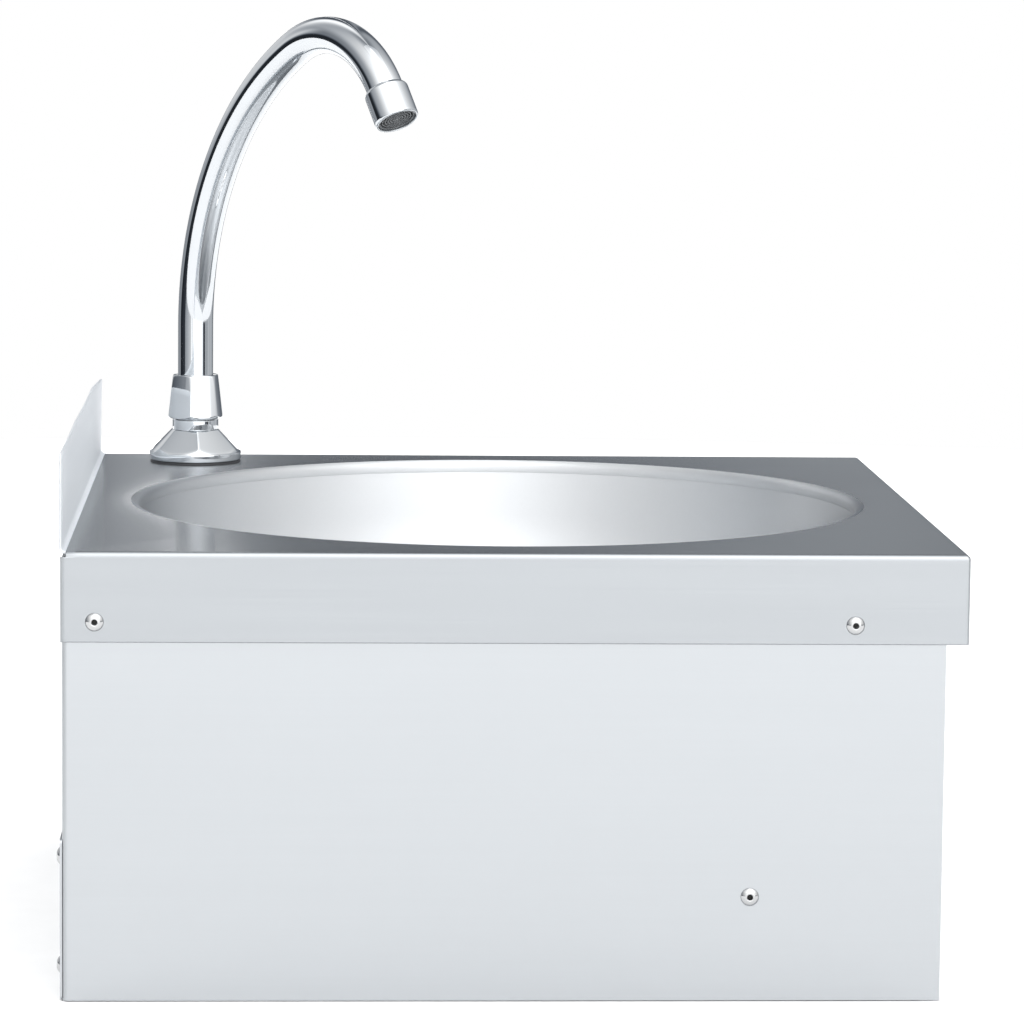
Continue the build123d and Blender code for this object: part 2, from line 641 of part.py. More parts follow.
with BuildPart() as valve_locknut:
    with BuildSketch(Plane.XZ.offset(-WEB_Y)):
        with Locations((0, VALVE_Z)):
            RegularPolygon(16.0, 6, major_radius=False)
            Circle(NECK_R, mode=Mode.SUBTRACT)
    extrude(amount=6.0)
keep(valve_locknut.part, "valve_locknut")

valve_front = Plane(origin=(0, BODY_FRONT, VALVE_Z), x_dir=(1, 0, 0), z_dir=(0, 1, 0))
keep(ring(GUIDE_R, STEM_R + RUN, valve_front, 16.0), "valve_stem_guide")

with BuildPart() as valve_stem_seal:
    with BuildSketch(valve_section):
        with Locations((5.02, -121.0)):
            Circle(0.96)
    revolve(axis=valve_axis)
keep(valve_stem_seal.part, "valve_stem_seal")

SEAL_FRONT = SEAT_Y + 0.1
DISC_FRONT = SEAL_FRONT + 3.0
DISC_BACK = DISC_FRONT + 2.0
seal_plane = Plane(origin=(0, SEAL_FRONT, VALVE_Z), x_dir=(1, 0, 0), z_dir=(0, 1, 0))
keep(ring(9.0, STEM_R, seal_plane, 3.0), "valve_seal_washer")

BUTTON_TIP = PANEL_FRONT + SHEET + 4.0 + GAP
with BuildPart() as valve_plunger:
    with BuildSketch(valve_section):
        with BuildLine():
            Polyline(
                (0, BUTTON_TIP + 4), (STEM_R, BUTTON_TIP + 4), (STEM_R, DISC_FRONT), (9.5, DISC_FRONT),
                (9.5, DISC_BACK), (3.5, DISC_BACK), (3.5, DISC_BACK + 8), (2.7, DISC_BACK + 9),
                (0, DISC_BACK + 9), (0, BUTTON_TIP + 4),
            )
        make_face()
    revolve(axis=valve_axis)
keep(valve_plunger.part, "valve_plunger")

with BuildPart() as push_button:
    with BuildSketch(valve_section):
        with BuildLine():
            ThreePointArc((0, BUTTON_TIP), (6.0, BUTTON_TIP + 0.4), (10.5, BUTTON_TIP + 1.4))
            ThreePointArc(
                (10.5, BUTTON_TIP + 1.4), (11.6, BUTTON_TIP + 2.1), (12.0, BUTTON_TIP + 3.2)
            )
            Polyline(
                (12.0, BUTTON_TIP + 3.2), (12.0, BUTTON_TIP + 7.5), (11.3, BUTTON_TIP + 8.2),
                (6.5, BUTTON_TIP + 8.2), (6.5, BUTTON_TIP + 12.5), (STEM_R, BUTTON_TIP + 12.5),
                (STEM_R, BUTTON_TIP + 4), (0, BUTTON_TIP + 4), (0, BUTTON_TIP),
            )
        make_face()
    revolve(axis=valve_axis)
keep(push_button.part, "push_button")

SPRING_R, WIRE_R = 7.2, 0.7
spring_start = DISC_BACK + WIRE_R
spring_end = BODY_BACK - 5.0 - WIRE_R
with BuildPart() as valve_spring:
    with BuildLine():
        coil = Helix(
            pitch=(spring_end - spring_start) / 5, height=spring_end - spring_start,
            radius=SPRING_R, center=(0, spring_start, VALVE_Z), direction=(0, 1, 0),
        )
    with BuildSketch(Plane(origin=coil @ 0, z_dir=coil % 0)):
        Circle(WIRE_R)
    sweep()
keep(valve_spring.part, "valve_spring")

# ---- bracket that holds the valve ---------------------------------------------------------------
BRACKET_LOW, BRACKET_TOP = 24.0, 70.0
TAB_BACK = -88.0
with BuildPart() as valve_bracket:
    span = CASE_X - SHEET
    with BuildSketch(Plane.XY.offset(BRACKET_LOW)):
        with BuildLine():
            outside = FilletPolyline(
                (-span, TAB_BACK), (-span, WEB_Y), (span, WEB_Y), (span, TAB_BACK), radius=3.0
            )
            inside = FilletPolyline(
                (THICK - span, TAB_BACK), (THICK - span, WEB_Y + THICK),
                (span - THICK, WEB_Y + THICK), (span - THICK, TAB_BACK),
                radius=1.5,
            )
            Line(outside @ 0, inside @ 0)
            Line(outside @ 1, inside @ 1)
        make_face()
    extrude(amount=BRACKET_TOP - BRACKET_LOW)
    for lip_z in (BRACKET_LOW, BRACKET_TOP - THICK):
        with BuildSketch(Plane.XY.offset(lip_z)):
            with Locations((0, WEB_Y + 6.0)):
                Rectangle(2 * span - 26.0, 12.0)
        extrude(amount=THICK)
    with BuildSketch(Plane.XZ.offset(-WEB_Y + 1)):
        with Locations((0, VALVE_Z)):
            Circle(NECK_R)
    extrude(amount=-5.0, mode=Mode.SUBTRACT)
    with BuildSketch(Plane.YZ):
        with Locations(BRACKET_RIVET):
            Circle(RIVET_HOLE)
    extrude(amount=WIDTH, both=True, mode=Mode.SUBTRACT)
keep(valve_bracket.part, "valve_bracket")

# ---- supply hose from the valve to the tap ------------------------------------------------------
NUT_BORE = G_HALF_R
FERRULE_R = 8.0
hose_run = (OUTLET_END + 6.0, TAIL_END - 6.0)
with BuildPart() as supply_hose:
    with BuildLine() as hose_line:
        FilletPolyline(
            (hose_run[0], HOSE_PORT_Y, VALVE_Z), (TAP_X, HOSE_PORT_Y, VALVE_Z), (TAP_X, TAP_Y, VALVE_Z),
            (TAP_X, TAP_Y, hose_run[1]), radius=HOSE_BENDS,
        )
    with BuildSketch(Plane.YZ.offset(hose_run[0])):
        with Locations((HOSE_PORT_Y, VALVE_Z)):
            Circle(HOSE_R)
    sweep(path=hose_line.line)
keep(supply_hose.part, "supply_hose")

hose_ends = [
    Plane(origin=(OUTLET_END, HOSE_PORT_Y, VALVE_Z), x_dir=(0, 1, 0), z_dir=(1, 0, 0)),
    Plane(origin=(TAP_X, TAP_Y, TAIL_END), x_dir=(1, 0, 0), z_dir=(0, 0, -1)),
]


def union_nut(end):
    """Hexagonal union nut that draws the hose's end onto a G 1/2 thread."""
    with BuildPart() as nut:
        with BuildSketch(end.offset(-13.0)):
            RegularPolygon(12.0, 6, major_radius=False, rotation=30)
            Circle(NUT_BORE, mode=Mode.SUBTRACT)
        extrude(amount=14.4)
        with BuildSketch(end.offset(1.4)):
            RegularPolygon(12.0, 6, major_radius=False, rotation=30)
            Circle(5.0, mode=Mode.SUBTRACT)
        extrude(amount=2.6)
    return nut.part


def ferrule(end):
    """Crimped sleeve on the end of the braided hose."""
    with BuildPart() as sleeve:
        with BuildSketch(end.offset(4.0)):
            Circle(FERRULE_R)
            Circle(4.0, mode=Mode.SUBTRACT)
        extrude(amount=2.0)
        with BuildSketch(end.offset(6.0)):
            Circle(FERRULE_R)
            Circle(HOSE_R, mode=Mode.SUBTRACT)
        extrude(amount=17.0)
    return sleeve.part


for end, name in zip(hose_ends, ("hose_nut_valve", "hose_nut_tap")):
    keep(union_nut(end), name)
keep(Compound(children=[ferrule(end) for end in hose_ends]), "hose_ferrules")
keep(Compound(children=[ring(10.0, 5.0, end, 1.4) for end in hose_ends]), "hose_washers")

# ---- knee panel ---------------------------------------------------------------------------------
TRAY = 15.5                      # depth of the panel's side flanges
BUSH_R = 4.0
with BuildPart() as knee_panel:
    with BuildSketch(Plane.XY.offset(PANEL_LOW)):
        with BuildLine():
            back_edge = PANEL_FRONT + TRAY
            outside = FilletPolyline(
                (-PANEL_X, back_edge), (-PANEL_X, PANEL_FRONT), (PANEL_X, PANEL_FRONT),
                (PANEL_X, back_edge), radius=2.5,
            )
            inside = FilletPolyline(
                (SHEET - PANEL_X, back_edge), (SHEET - PANEL_X, PANEL_FRONT + SHEET),
                (PANEL_X - SHEET, PANEL_FRONT + SHEET), (PANEL_X - SHEET, back_edge), radius=1.5,
            )
            Line(outside @ 0, inside @ 0)
            Line(outside @ 1, inside @ 1)
        make_face()
    extrude(amount=PANEL_TOP - PANEL_LOW)
    with BuildSketch(Plane.XY.offset(PANEL_LOW)):
        with Locations((0, PANEL_FRONT + 7.0)):
            Rectangle(2 * PANEL_X - 6.0, 13.0)
    extrude(amount=SHEET)
    with BuildSketch(Plane.YZ):
        with Locations((HINGE_Y, HINGE_Z)):
            Circle(BUSH_R)
    extrude(amount=WIDTH, both=True, mode=Mode.SUBTRACT)
keep(knee_panel.part, "knee_panel")

with BuildPart() as striker_pad:
    with BuildSketch(Plane.XZ.offset(-PANEL_FRONT - SHEET)):
        with Locations((0, VALVE_Z)):
            Circle(15.0)
    extrude(amount=-4.0)
    chamfer(striker_pad.faces().sort_by(Axis.Y)[-1].edges(), 0.8)
keep(striker_pad.part, "striker_pad")

with BuildPart() as hinge_rod:
    with BuildSketch(Plane.YZ.offset(GAP - CASE_X)):
        with Locations((HINGE_Y, HINGE_Z)):
            Circle(HINGE_R)
    extrude(amount=2 * (CASE_X - GAP))
    chamfer(hinge_rod.faces().group_by(Axis.X)[0].edges(), 0.4)
keep(hinge_rod.part, "hinge_rod")


def hinge_bush(sx):
    """Flanged nylon bush pressed into one side flange of the knee panel."""
    end = Plane(origin=(sx * PANEL_X, HINGE_Y, HINGE_Z), x_dir=(0, 1, 0), z_dir=(-sx, 0, 0))
    with BuildPart() as bush:
        with BuildSketch(end):
            Circle(BUSH_R)
        extrude(amount=SHEET)
        with BuildSketch(end.offset(SHEET)):
            Circle(BUSH_R + 0.9)
        extrude(amount=2.0)
        with BuildSketch(end):
            Circle(HINGE_R + RUN)
        extrude(amount=5.0, mode=Mode.SUBTRACT)
    return bush.part


def rod_clip(sx):
    """Push-on retaining washer that keeps the rod centred between the side panels."""
    return ring(6.0, HINGE_R, outward(sx, CASE_X - SHEET - 0.8, HINGE_Y, HINGE_Z), 0.8)


keep(Compound(children=[hinge_bush(sx) for sx in (-1, 1)]), "hinge_bushes")
keep(Compound(children=[rod_clip(sx) for sx in (-1, 1)]), "hinge_rod_clips")

# ---- stops that hold the panel at rest ----------------------------------------------------------
BUMPER_FACE = PANEL_FRONT + SHEET + GAP
BUMPER_LENGTH = 5.0
STOP_FACE = BUMPER_FACE + BUMPER_LENGTH


def stop_bracket(sx):
    """Angle spot-welded under the deck, holding one bumper behind the panel's top edge."""
    with BuildPart() as angle:
        with BuildSketch(Plane.YZ.offset(sx * STOP_X - 13.0)):
            with BuildLine():
                Polyline(
                    (STOP_FACE, STOP_LOW), (STOP_FACE, DECK_UNDER), (STOP_FACE + 20, DECK_UNDER),
                    (STOP_FACE + 20, DECK_UNDER - THICK), (STOP_FACE + THICK, DECK_UNDER - THICK),
                    (STOP_FACE + THICK, STOP_LOW), (STOP_FACE, STOP_LOW),
                )
            make_face()
        extrude(amount=26.0)
        with BuildSketch(Plane.XZ.offset(-STOP_FACE + 1)):
            with Locations((sx * STOP_X, STOP_Z)):
                Circle(1.6)
        extrude(amount=-4.0, mode=Mode.SUBTRACT)
    return angle.part


def stop_bumper(sx):
    """Rubber push-in bumper: head in front of the bracket, neck through it, barb behind."""
    with BuildPart() as bumper:
        with BuildSketch(Plane(origin=(sx * STOP_X, BUMPER_FACE, STOP_Z))):
            with BuildLine():
                Polyline(
                    (0, 0), (3.2, 0), (4.0, 0.8), (4.0, BUMPER_LENGTH), (1.6, BUMPER_LENGTH),
                    (1.6, BUMPER_LENGTH + THICK), (2.5, BUMPER_LENGTH + THICK), (1.2, BUMPER_LENGTH + 5),
                    (0, BUMPER_LENGTH + 5), (0, 0),
                )
            make_face()
        revolve(axis=Axis((sx * STOP_X, BUMPER_FACE, STOP_Z), (0, 1, 0)))
    return bumper.part


keep(Compound(children=[stop_bracket(sx) for sx in (-1, 1)]), "stop_brackets")
keep(Compound(children=[stop_bumper(sx) for sx in (-1, 1)]), "stop_bumpers")
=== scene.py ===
"""Looks for a knee-operated handwash sink: fixed CAD frame, procedural metals and finely made meshes."""

from math import atan2, cos, degrees, pi, radians, sin, sqrt, tan

import bmesh
import bpy
from mathutils import Matrix, Vector


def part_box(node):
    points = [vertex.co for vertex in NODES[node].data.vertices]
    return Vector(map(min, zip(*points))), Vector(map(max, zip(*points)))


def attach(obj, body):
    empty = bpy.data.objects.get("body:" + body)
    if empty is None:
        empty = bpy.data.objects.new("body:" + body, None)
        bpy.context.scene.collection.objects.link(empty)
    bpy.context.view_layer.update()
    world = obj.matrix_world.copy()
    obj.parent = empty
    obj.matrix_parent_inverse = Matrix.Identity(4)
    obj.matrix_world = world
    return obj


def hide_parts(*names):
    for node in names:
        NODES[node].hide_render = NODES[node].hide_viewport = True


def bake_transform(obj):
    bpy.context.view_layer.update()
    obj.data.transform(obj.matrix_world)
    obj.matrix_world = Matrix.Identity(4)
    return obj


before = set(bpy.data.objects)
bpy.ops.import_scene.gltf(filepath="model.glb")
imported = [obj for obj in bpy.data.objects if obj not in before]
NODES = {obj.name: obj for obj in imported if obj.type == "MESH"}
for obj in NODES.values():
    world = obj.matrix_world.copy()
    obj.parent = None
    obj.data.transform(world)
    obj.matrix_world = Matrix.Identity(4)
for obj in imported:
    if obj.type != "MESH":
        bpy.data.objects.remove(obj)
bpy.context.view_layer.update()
MM = 0.001

# ---- sizes, in millimetres, read from the frame where it has them ----


def node_box(name):
    """Lowest and highest corner of a CAD node, in millimetres."""
    low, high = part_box(name)
    return low / MM, high / MM


deck_low, deck_high = node_box("sink_deck")
HALF_W = deck_high.x
FRONT_FACE, WALL = deck_low.y, deck_high.y
TRAY_BACK = WALL - 3.0
SHEET = 1.0
DECK_TOP = node_box("tap_gasket")[0].z
SKIRT_LOW = deck_low.z
UPSTAND_TOP = deck_high.z
BEND = 2.5
LIP = 3.0
bowl_high = node_box("sink_bowl")[1]
BOWL_R = bowl_high.x - SHEET
LIP_LOW = bowl_high.z
gasket_low, gasket_high = node_box("tap_gasket")
TAP = (gasket_low + gasket_high) / 2
TAP_X, TAP_Y = TAP.x, TAP.y


# ---- mesh helpers ----
def arc(centre, radius, start, end, steps):
    """Points of an arc in a section, angles in degrees."""
    points = []
    for i in range(steps + 1):
        a = radians(start + (end - start) * i / steps)
        points.append((centre[0] + radius * cos(a), centre[1] + radius * sin(a)))
    return points


def circle(radius, steps, centre=(0.0, 0.0)):
    angles = [2 * pi * k / steps for k in range(steps)]
    return [(centre[0] + radius * cos(a), centre[1] + radius * sin(a)) for a in angles]


def ring_section(inner, outer, low, high):
    """Rectangular section of a ring, for the lathe."""
    return [(inner, low), (outer, low), (outer, high), (inner, high)]


def quads(low, high):
    """Faces between two closed rows of the same length."""
    after = [(k + 1) % len(low) for k in range(len(low))]
    return [[low[k], low[n], high[n], high[k]] for k, n in enumerate(after)]


def rounded(points, radius, steps=4, closed=True):
    """The same outline with each corner replaced by a small curve, so that its edges catch the light."""
    count = len(points)
    result = []
    for i, point in enumerate(points):
        if not closed and i in (0, count - 1):
            result.append(point)
            continue
        here = Vector(point)
        before = Vector(points[i - 1]) - here
        after = Vector(points[(i + 1) % count]) - here
        reach = min(radius, before.length * 0.45, after.length * 0.45)
        start = here + before.normalized() * reach
        end = here + after.normalized() * reach
        for k in range(steps + 1):
            t = k / steps
            p = start * (1 - t) ** 2 + here * 2 * t * (1 - t) + end * t ** 2
            result.append((p.x, p.y))
    return result


def lathe(profile, closed=True, steps=96):
    """Revolves a section of (radius, height) points about Z. A closed section makes a ring."""
    verts, rows = [], []
    for r, h in profile:
        if r < 1e-6:
            rows.append([len(verts)] * steps)
            verts.append((0, 0, h))
            continue
        rows.append([len(verts) + k for k in range(steps)])
        verts += [(x, y, h) for x, y in circle(r, steps)]
    faces = []
    pairs = list(zip(rows, rows[1:]))
    if closed:
        pairs.append((rows[-1], rows[0]))
    for low, high in pairs:
        # a point on the axis turns a quad into a triangle
        corners = [list(dict.fromkeys(face)) for face in quads(low, high)]
        faces += [face for face in corners if len(face) > 2]
    return verts, faces


def polar(levels, steps=192, bore=None, counterbore=None):
    """A solid whose outline at each level is radius(angle). Levels are (height, radius function).

    A counterbore is (radius, height), cut from the lower end up to that height.
    """
    verts, faces, rows = [], [], []
    for h, radius in levels:
        rows.append([len(verts) + k for k in range(steps)])
        for k in range(steps):
            a = 2 * pi * k / steps
            r = radius(a)
            verts.append((r * cos(a), r * sin(a), h))
    if bore:
        bottom, top = levels[0][0], levels[-1][0]
        inside = [(bore, top), (bore, bottom)]
        if counterbore:
            wide, step = counterbore
            inside = [(bore, top), (bore, step), (wide, step), (wide, bottom)]
        for r, h in inside:
            rows.append([len(verts) + k for k in range(steps)])
            verts += [(x, y, h) for x, y in circle(r, steps)]
        rows.append(rows[0])
    for low, high in zip(rows, rows[1:]):
        faces += quads(low, high)
    if not bore:
        for row, h in ((rows[0], levels[0][0]), (rows[-1], levels[-1][0])):
            centre = len(verts)
            verts.append((0, 0, h))
            faces += [[row[k], row[(k + 1) % steps], centre] for k in range(steps)]
    return verts, faces


def polygon_radius(apothem, sides, turn=0.0, crisp=60, bulge=None):
    """Outline of a regular polygon as a function of angle.

    With a bulge, each side is an arc of that radius.
    """
    def radius(angle):
        total = 0.0
        for k in range(sides):
            c = cos(angle - radians(turn) - 2 * pi * (k + 0.5) / sides)
            if c <= 0:
                continue
            if bulge:
                back = bulge - apothem
                inside = bulge ** 2 - back ** 2 * (1 - c * c)
                if inside > 0:
                    total += (apothem / (sqrt(inside) - back * c)) ** crisp
            else:
                total += c ** crisp
        return apothem * total ** (-1 / crisp)
    return radius


def smaller(first, second, crisp=50):
    """The inner of two outlines, with a soft edge where they cross."""
    return lambda angle: (first(angle) ** -crisp + second(angle) ** -crisp) ** (-1 / crisp)


def sweep_tube(path, radii, steps=64):
    """Closed tube along a flat path of (point, tangent) pairs. Its radii are (outer, inner)."""
    verts, rows = [], []
    normal = path[0][1].cross(path[-1][1]).normalized()
    for radius in radii:
        for point, tangent in path:
            side = normal.cross(tangent).normalized()
            rows.append([len(verts) + k for k in range(steps)])
            for k in range(steps):
                a = 2 * pi * k / steps
                verts.append(tuple(point + (side * cos(a) + normal * sin(a)) * radius))
    count = len(path)
    order = list(range(count)) + list(range(2 * count - 1, count - 1, -1)) + [0]
    faces = []
    for i, j in zip(order, order[1:]):
        faces += quads(rows[i], rows[j])
    return verts, faces


def moved(shape, matrix):
    verts, faces = shape
    return [tuple(matrix @ Vector(v)) for v in verts], faces


def joined(*shapes):
    verts, faces = [], []
    for shape_verts, shape_faces in shapes:
        base = len(verts)
        verts += shape_verts
        faces += [[i + base for i in face] for face in shape_faces]
    return verts, faces


def stand(x, y, z, axis=(0, 0, 1), turn=0.0):
    """Matrix that stands a shape made along Z at a place, its axis turned to the given direction."""
    rotation = Vector((0, 0, 1)).rotation_difference(Vector(axis)).to_matrix().to_4x4()
    return Matrix.Translation((x, y, z)) @ rotation @ Matrix.Rotation(radians(turn), 4, "Z")


def placed(name, mesh, material, replaces=(), body="cabinet"):
    """Puts a mesh in the scene, fixed to its CAD body."""
    obj = bpy.data.objects.new(name, mesh)
    bpy.context.scene.collection.objects.link(obj)
    mesh.materials.append(material)
    if body:
        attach(obj, body)
    if replaces:
        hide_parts(*replaces)
    return obj


def new_mesh(name, shape, sharp, merge, outward=False):
    """A smooth-shaded mesh in metres from a shape in millimetres, coincident points merged."""
    verts, faces = shape
    mesh = bpy.data.meshes.new(name)
    mesh.from_pydata([Vector(v) * MM for v in verts], [], faces)
    work = bmesh.new()
    work.from_mesh(mesh)
    bmesh.ops.remove_doubles(work, verts=work.verts, dist=merge)
    if outward:
        bmesh.ops.recalc_face_normals(work, faces=work.faces)
    work.to_mesh(mesh)
    work.free()
    mesh.polygons.foreach_set("use_smooth", [True] * len(mesh.polygons))
    mesh.set_sharp_from_angle(angle=radians(sharp))
    return mesh


def piece(name, shape, material, replaces=(), body="cabinet", sharp=40):
    """A solid shape as an object, its normals turned outward."""
    mesh = new_mesh(name, shape, sharp, 1e-7, outward=True)
    return placed(name, mesh, material, replaces, body)


def sheet(name, shape, material, replaces=()):
    """A sheet-metal surface whose normals already point outward, given its thickness by a modifier."""
    obj = placed(name, new_mesh(name, shape, 50, 0.02 * MM), material, replaces)
    solid = obj.modifiers.new("thickness", "SOLIDIFY")
    solid.thickness = SHEET * MM
    solid.offset = -1.0
    solid.use_even_offset = True
    # keeps the flat faces flat in the shading
    normals = obj.modifiers.new("flat_faces", "WEIGHTED_NORMAL")
    normals.keep_sharp = True
    normals.weight = 90
    return obj


# ---- materials ----
class Nodes:
    """Short names for building a shader tree."""
    def __init__(self, tree):
        self.tree = tree

    def add(self, kind, inputs=None, **settings):
        node = self.tree.nodes.new(kind)
        for key, value in settings.items():
            setattr(node, key, value)
        for key, value in (inputs or {}).items():
            self.put(node.inputs[key], value)
        return node

    def put(self, socket, value):
        if isinstance(value, bpy.types.NodeSocket):
            self.tree.links.new(value, socket)
        else:
            socket.default_value = value

    def math(self, operation, first, second=0.0, third=0.0):
        node = self.add("ShaderNodeMath", operation=operation)
        for socket, value in zip(node.inputs, (first, second, third)):
            self.put(socket, value)
        return node.outputs[0]

    def plus(self, first, second):
        return self.math("ADD", first, second)

    def minus(self, first, second):
        return self.math("SUBTRACT", first, second)

    def times(self, first, second):
        return self.math("MULTIPLY", first, second)

    def ramp(self, value, stops):
        node = self.add("ShaderNodeValToRGB", {"Fac": value})
        ramp = node.color_ramp
        while len(ramp.elements) < len(stops):
            ramp.elements.new(1.0)
        for element, (place, colour) in zip(ramp.elements, stops):
            element.position = place
            element.color = colour if len(colour) == 4 else (*colour, 1.0)
        return node.outputs["Color"]

    def noise(self, scale, detail=4.0, rough=0.55):
        """Noise in object space, finer as scale grows. Three scales stretch it."""
        place = self.add("ShaderNodeTexCoord").outputs["Object"]
        scales = scale if isinstance(scale, list) else [scale] * 3
        mapped = self.add("ShaderNodeMapping", {"Vector": place, "Scale": scales}).outputs["Vector"]
        node = self.add("ShaderNodeTexNoise", {"Vector": mapped, "Scale": 1.0, "Detail": detail,
                                               "Roughness": rough})
        return node.outputs["Fac"]


def new_material(name, metallic=0.0):
    material = bpy.data.materials.new(name)
    material.use_nodes = True
    shader = material.node_tree.nodes["Principled BSDF"]
    shader.inputs["Metallic"].default_value = metallic
    return material, Nodes(material.node_tree), shader


def coloured(n, shader, value, colour, darker, lighter):
    """Base colour that runs from a darker to a lighter tone as the value rises."""
    low = [c * darker for c in colour[:3]]
    high = [min(1.0, c * lighter) for c in colour[:3]]
    n.put(shader.inputs["Base Color"], n.ramp(value, [(0.3, low), (0.7, high)]))


def bumped(n, shader, height, strength, distance):
    bump = n.add("ShaderNodeBump", {"Height": height, "Strength": strength, "Distance": distance})
    n.put(shader.inputs["Normal"], bump.outputs["Normal"])


def brush_lines(n, shader, aniso, lines_run):
    """Spreads highlights across brush lines that run in the given direction."""
    shader.inputs["Anisotropic"].default_value = aniso
    facing = n.add("ShaderNodeNewGeometry").outputs["True Normal"]
    spread = n.add("ShaderNodeVectorMath", {0: facing, 1: lines_run}, operation="CROSS_PRODUCT")
    spread = n.add("ShaderNodeVectorMath", {0: spread.outputs[0]}, operation="NORMALIZE")
    n.put(shader.inputs["Tangent"], spread.outputs[0])


def grey(value, tint=0.0):
    """A neutral colour, cooler as tint grows."""
    return (value * (1 - tint), value, value * (1 + tint), 1.0)


def brushed(name, colour, roughness, along, grain=0.25, aniso=0.6, metallic=1.0):
    """Stainless sheet brushed along one axis, with faint smears and long fine lines."""
    material, n, shader = new_material(name, metallic)
    axis = "XYZ".index(along)
    fine, broad = [900.0] * 3, [120.0] * 3
    fine[axis], broad[axis] = 7.0, 3.0
    lines = n.noise(fine, detail=5.0, rough=0.65)
    clouds = n.times(n.noise(9.0, detail=3.0), 0.2)
    smears = n.math("MULTIPLY_ADD", n.noise(broad, detail=2.0), 0.3, clouds)
    mix = n.math("MULTIPLY_ADD", lines, 0.5, smears)
    coloured(n, shader, mix, colour, 1 - 0.10 * grain, 1 + 0.10 * grain)
    n.put(shader.inputs["Roughness"],
          n.math("MULTIPLY_ADD", n.minus(mix, 0.5), 0.35 * grain, roughness))
    # a little Z, so that a face square to the brush axis still has a direction
    lines_run = [0.0, 0.0, 0.01]
    lines_run[axis] = 1.0
    brush_lines(n, shader, aniso, lines_run)
    bumped(n, shader, lines, 0.10 * grain, 0.0004)
    return material


def satin(name, colour, roughness, grain=0.2, spun=0.0):
    """Evenly satin metal with soft mottling, or metal spun about the object's Z axis."""
    material, n, shader = new_material(name, metallic=1.0)
    fine = n.noise(700.0, detail=3.0)
    mix = n.math("MULTIPLY_ADD", fine, 0.4, n.times(n.noise(14.0), 0.6))
    coloured(n, shader, mix, colour, 1 - 0.12 * grain, 1 + 0.12 * grain)
    n.put(shader.inputs["Roughness"],
          n.math("MULTIPLY_ADD", n.minus(mix, 0.5), 0.3 * grain, roughness))
    bumped(n, shader, fine, 0.08 * grain, 0.0003)
    if spun:
        place = n.add("ShaderNodeTexCoord").outputs["Object"]
        rings = n.add("ShaderNodeVectorMath", {0: (0.0, 0.0, 1.0), 1: place}, operation="CROSS_PRODUCT")
        brush_lines(n, shader, spun, rings.outputs[0])
    return material


def polished(name, colour, roughness=0.04):
    """Bright plated metal with barely visible haze."""
    material, n, shader = new_material(name, metallic=1.0)
    haze = n.noise(60.0, detail=3.0)
    coloured(n, shader, haze, colour, 0.985, 1.0)
    n.put(shader.inputs["Roughness"], n.math("MULTIPLY_ADD", haze, 0.02, roughness - 0.01))
    return material


def moulded(name, colour, roughness):
    """Rubber or moulded plastic with a fine surface grain."""
    material, n, shader = new_material(name)
    grit = n.noise(900.0)
    coloured(n, shader, n.noise(30.0, detail=3.0), colour, 0.88, 1.08)
    n.put(shader.inputs["Roughness"], n.math("MULTIPLY_ADD", grit, 0.2, roughness - 0.1))
    bumped(n, shader, grit, 0.15, 0.0002)
    return material


DECK = brushed("deck_steel", grey(0.37, 0.045), 0.24, "Y", grain=0.35, aniso=0.95)
SPLASH = brushed("backsplash_steel", grey(0.92, 0.03), 0.6, "X", grain=0.2, aniso=0.3, metallic=0.68)
BOWL = satin("bowl_steel", grey(0.73, 0.02), 0.45, grain=0.12, spun=0.95)
CASING = brushed("casing_steel", grey(0.45, 0.04), 0.36, "Y", grain=0.12, aniso=0.2)
PANEL = brushed("panel_steel", grey(0.58, 0.04), 0.34, "X", grain=0.4, aniso=0.4)
BRACKET = brushed("bracket_steel", grey(0.56, 0.03), 0.38, "X", grain=0.6, aniso=0.3)
RIVET = satin("rivet_steel", grey(0.50, 0.01), 0.14, grain=0.4)
POLISHED = satin("polished_steel", grey(0.74, 0.004), 0.12, grain=0.4)
ZINC = satin("zinc_steel", (0.62, 0.63, 0.66, 1), 0.30, grain=1.0)
SPRING = satin("spring_steel", grey(0.55, 0.01), 0.22, grain=0.6)
CHROME = polished("tap_chrome", grey(0.62, 0.035))
NICKEL = satin("nickel_brass", (0.72, 0.71, 0.67, 1), 0.18, grain=0.6)
BRASS = satin("brass", (0.72, 0.54, 0.27, 1), 0.28, grain=1.0)
RUBBER = moulded("black_rubber", (0.022, 0.023, 0.026), 0.55)
BLACK_NYLON = moulded("black_nylon", (0.03, 0.03, 0.032), 0.42)
WHITE_NYLON = moulded("white_nylon", (0.80, 0.80, 0.77), 0.40)
WHITE_PLASTIC = moulded("white_plastic", (0.82, 0.82, 0.80), 0.35)
GREY_PLASTIC = moulded("grey_plastic", (0.10, 0.105, 0.11), 0.38)


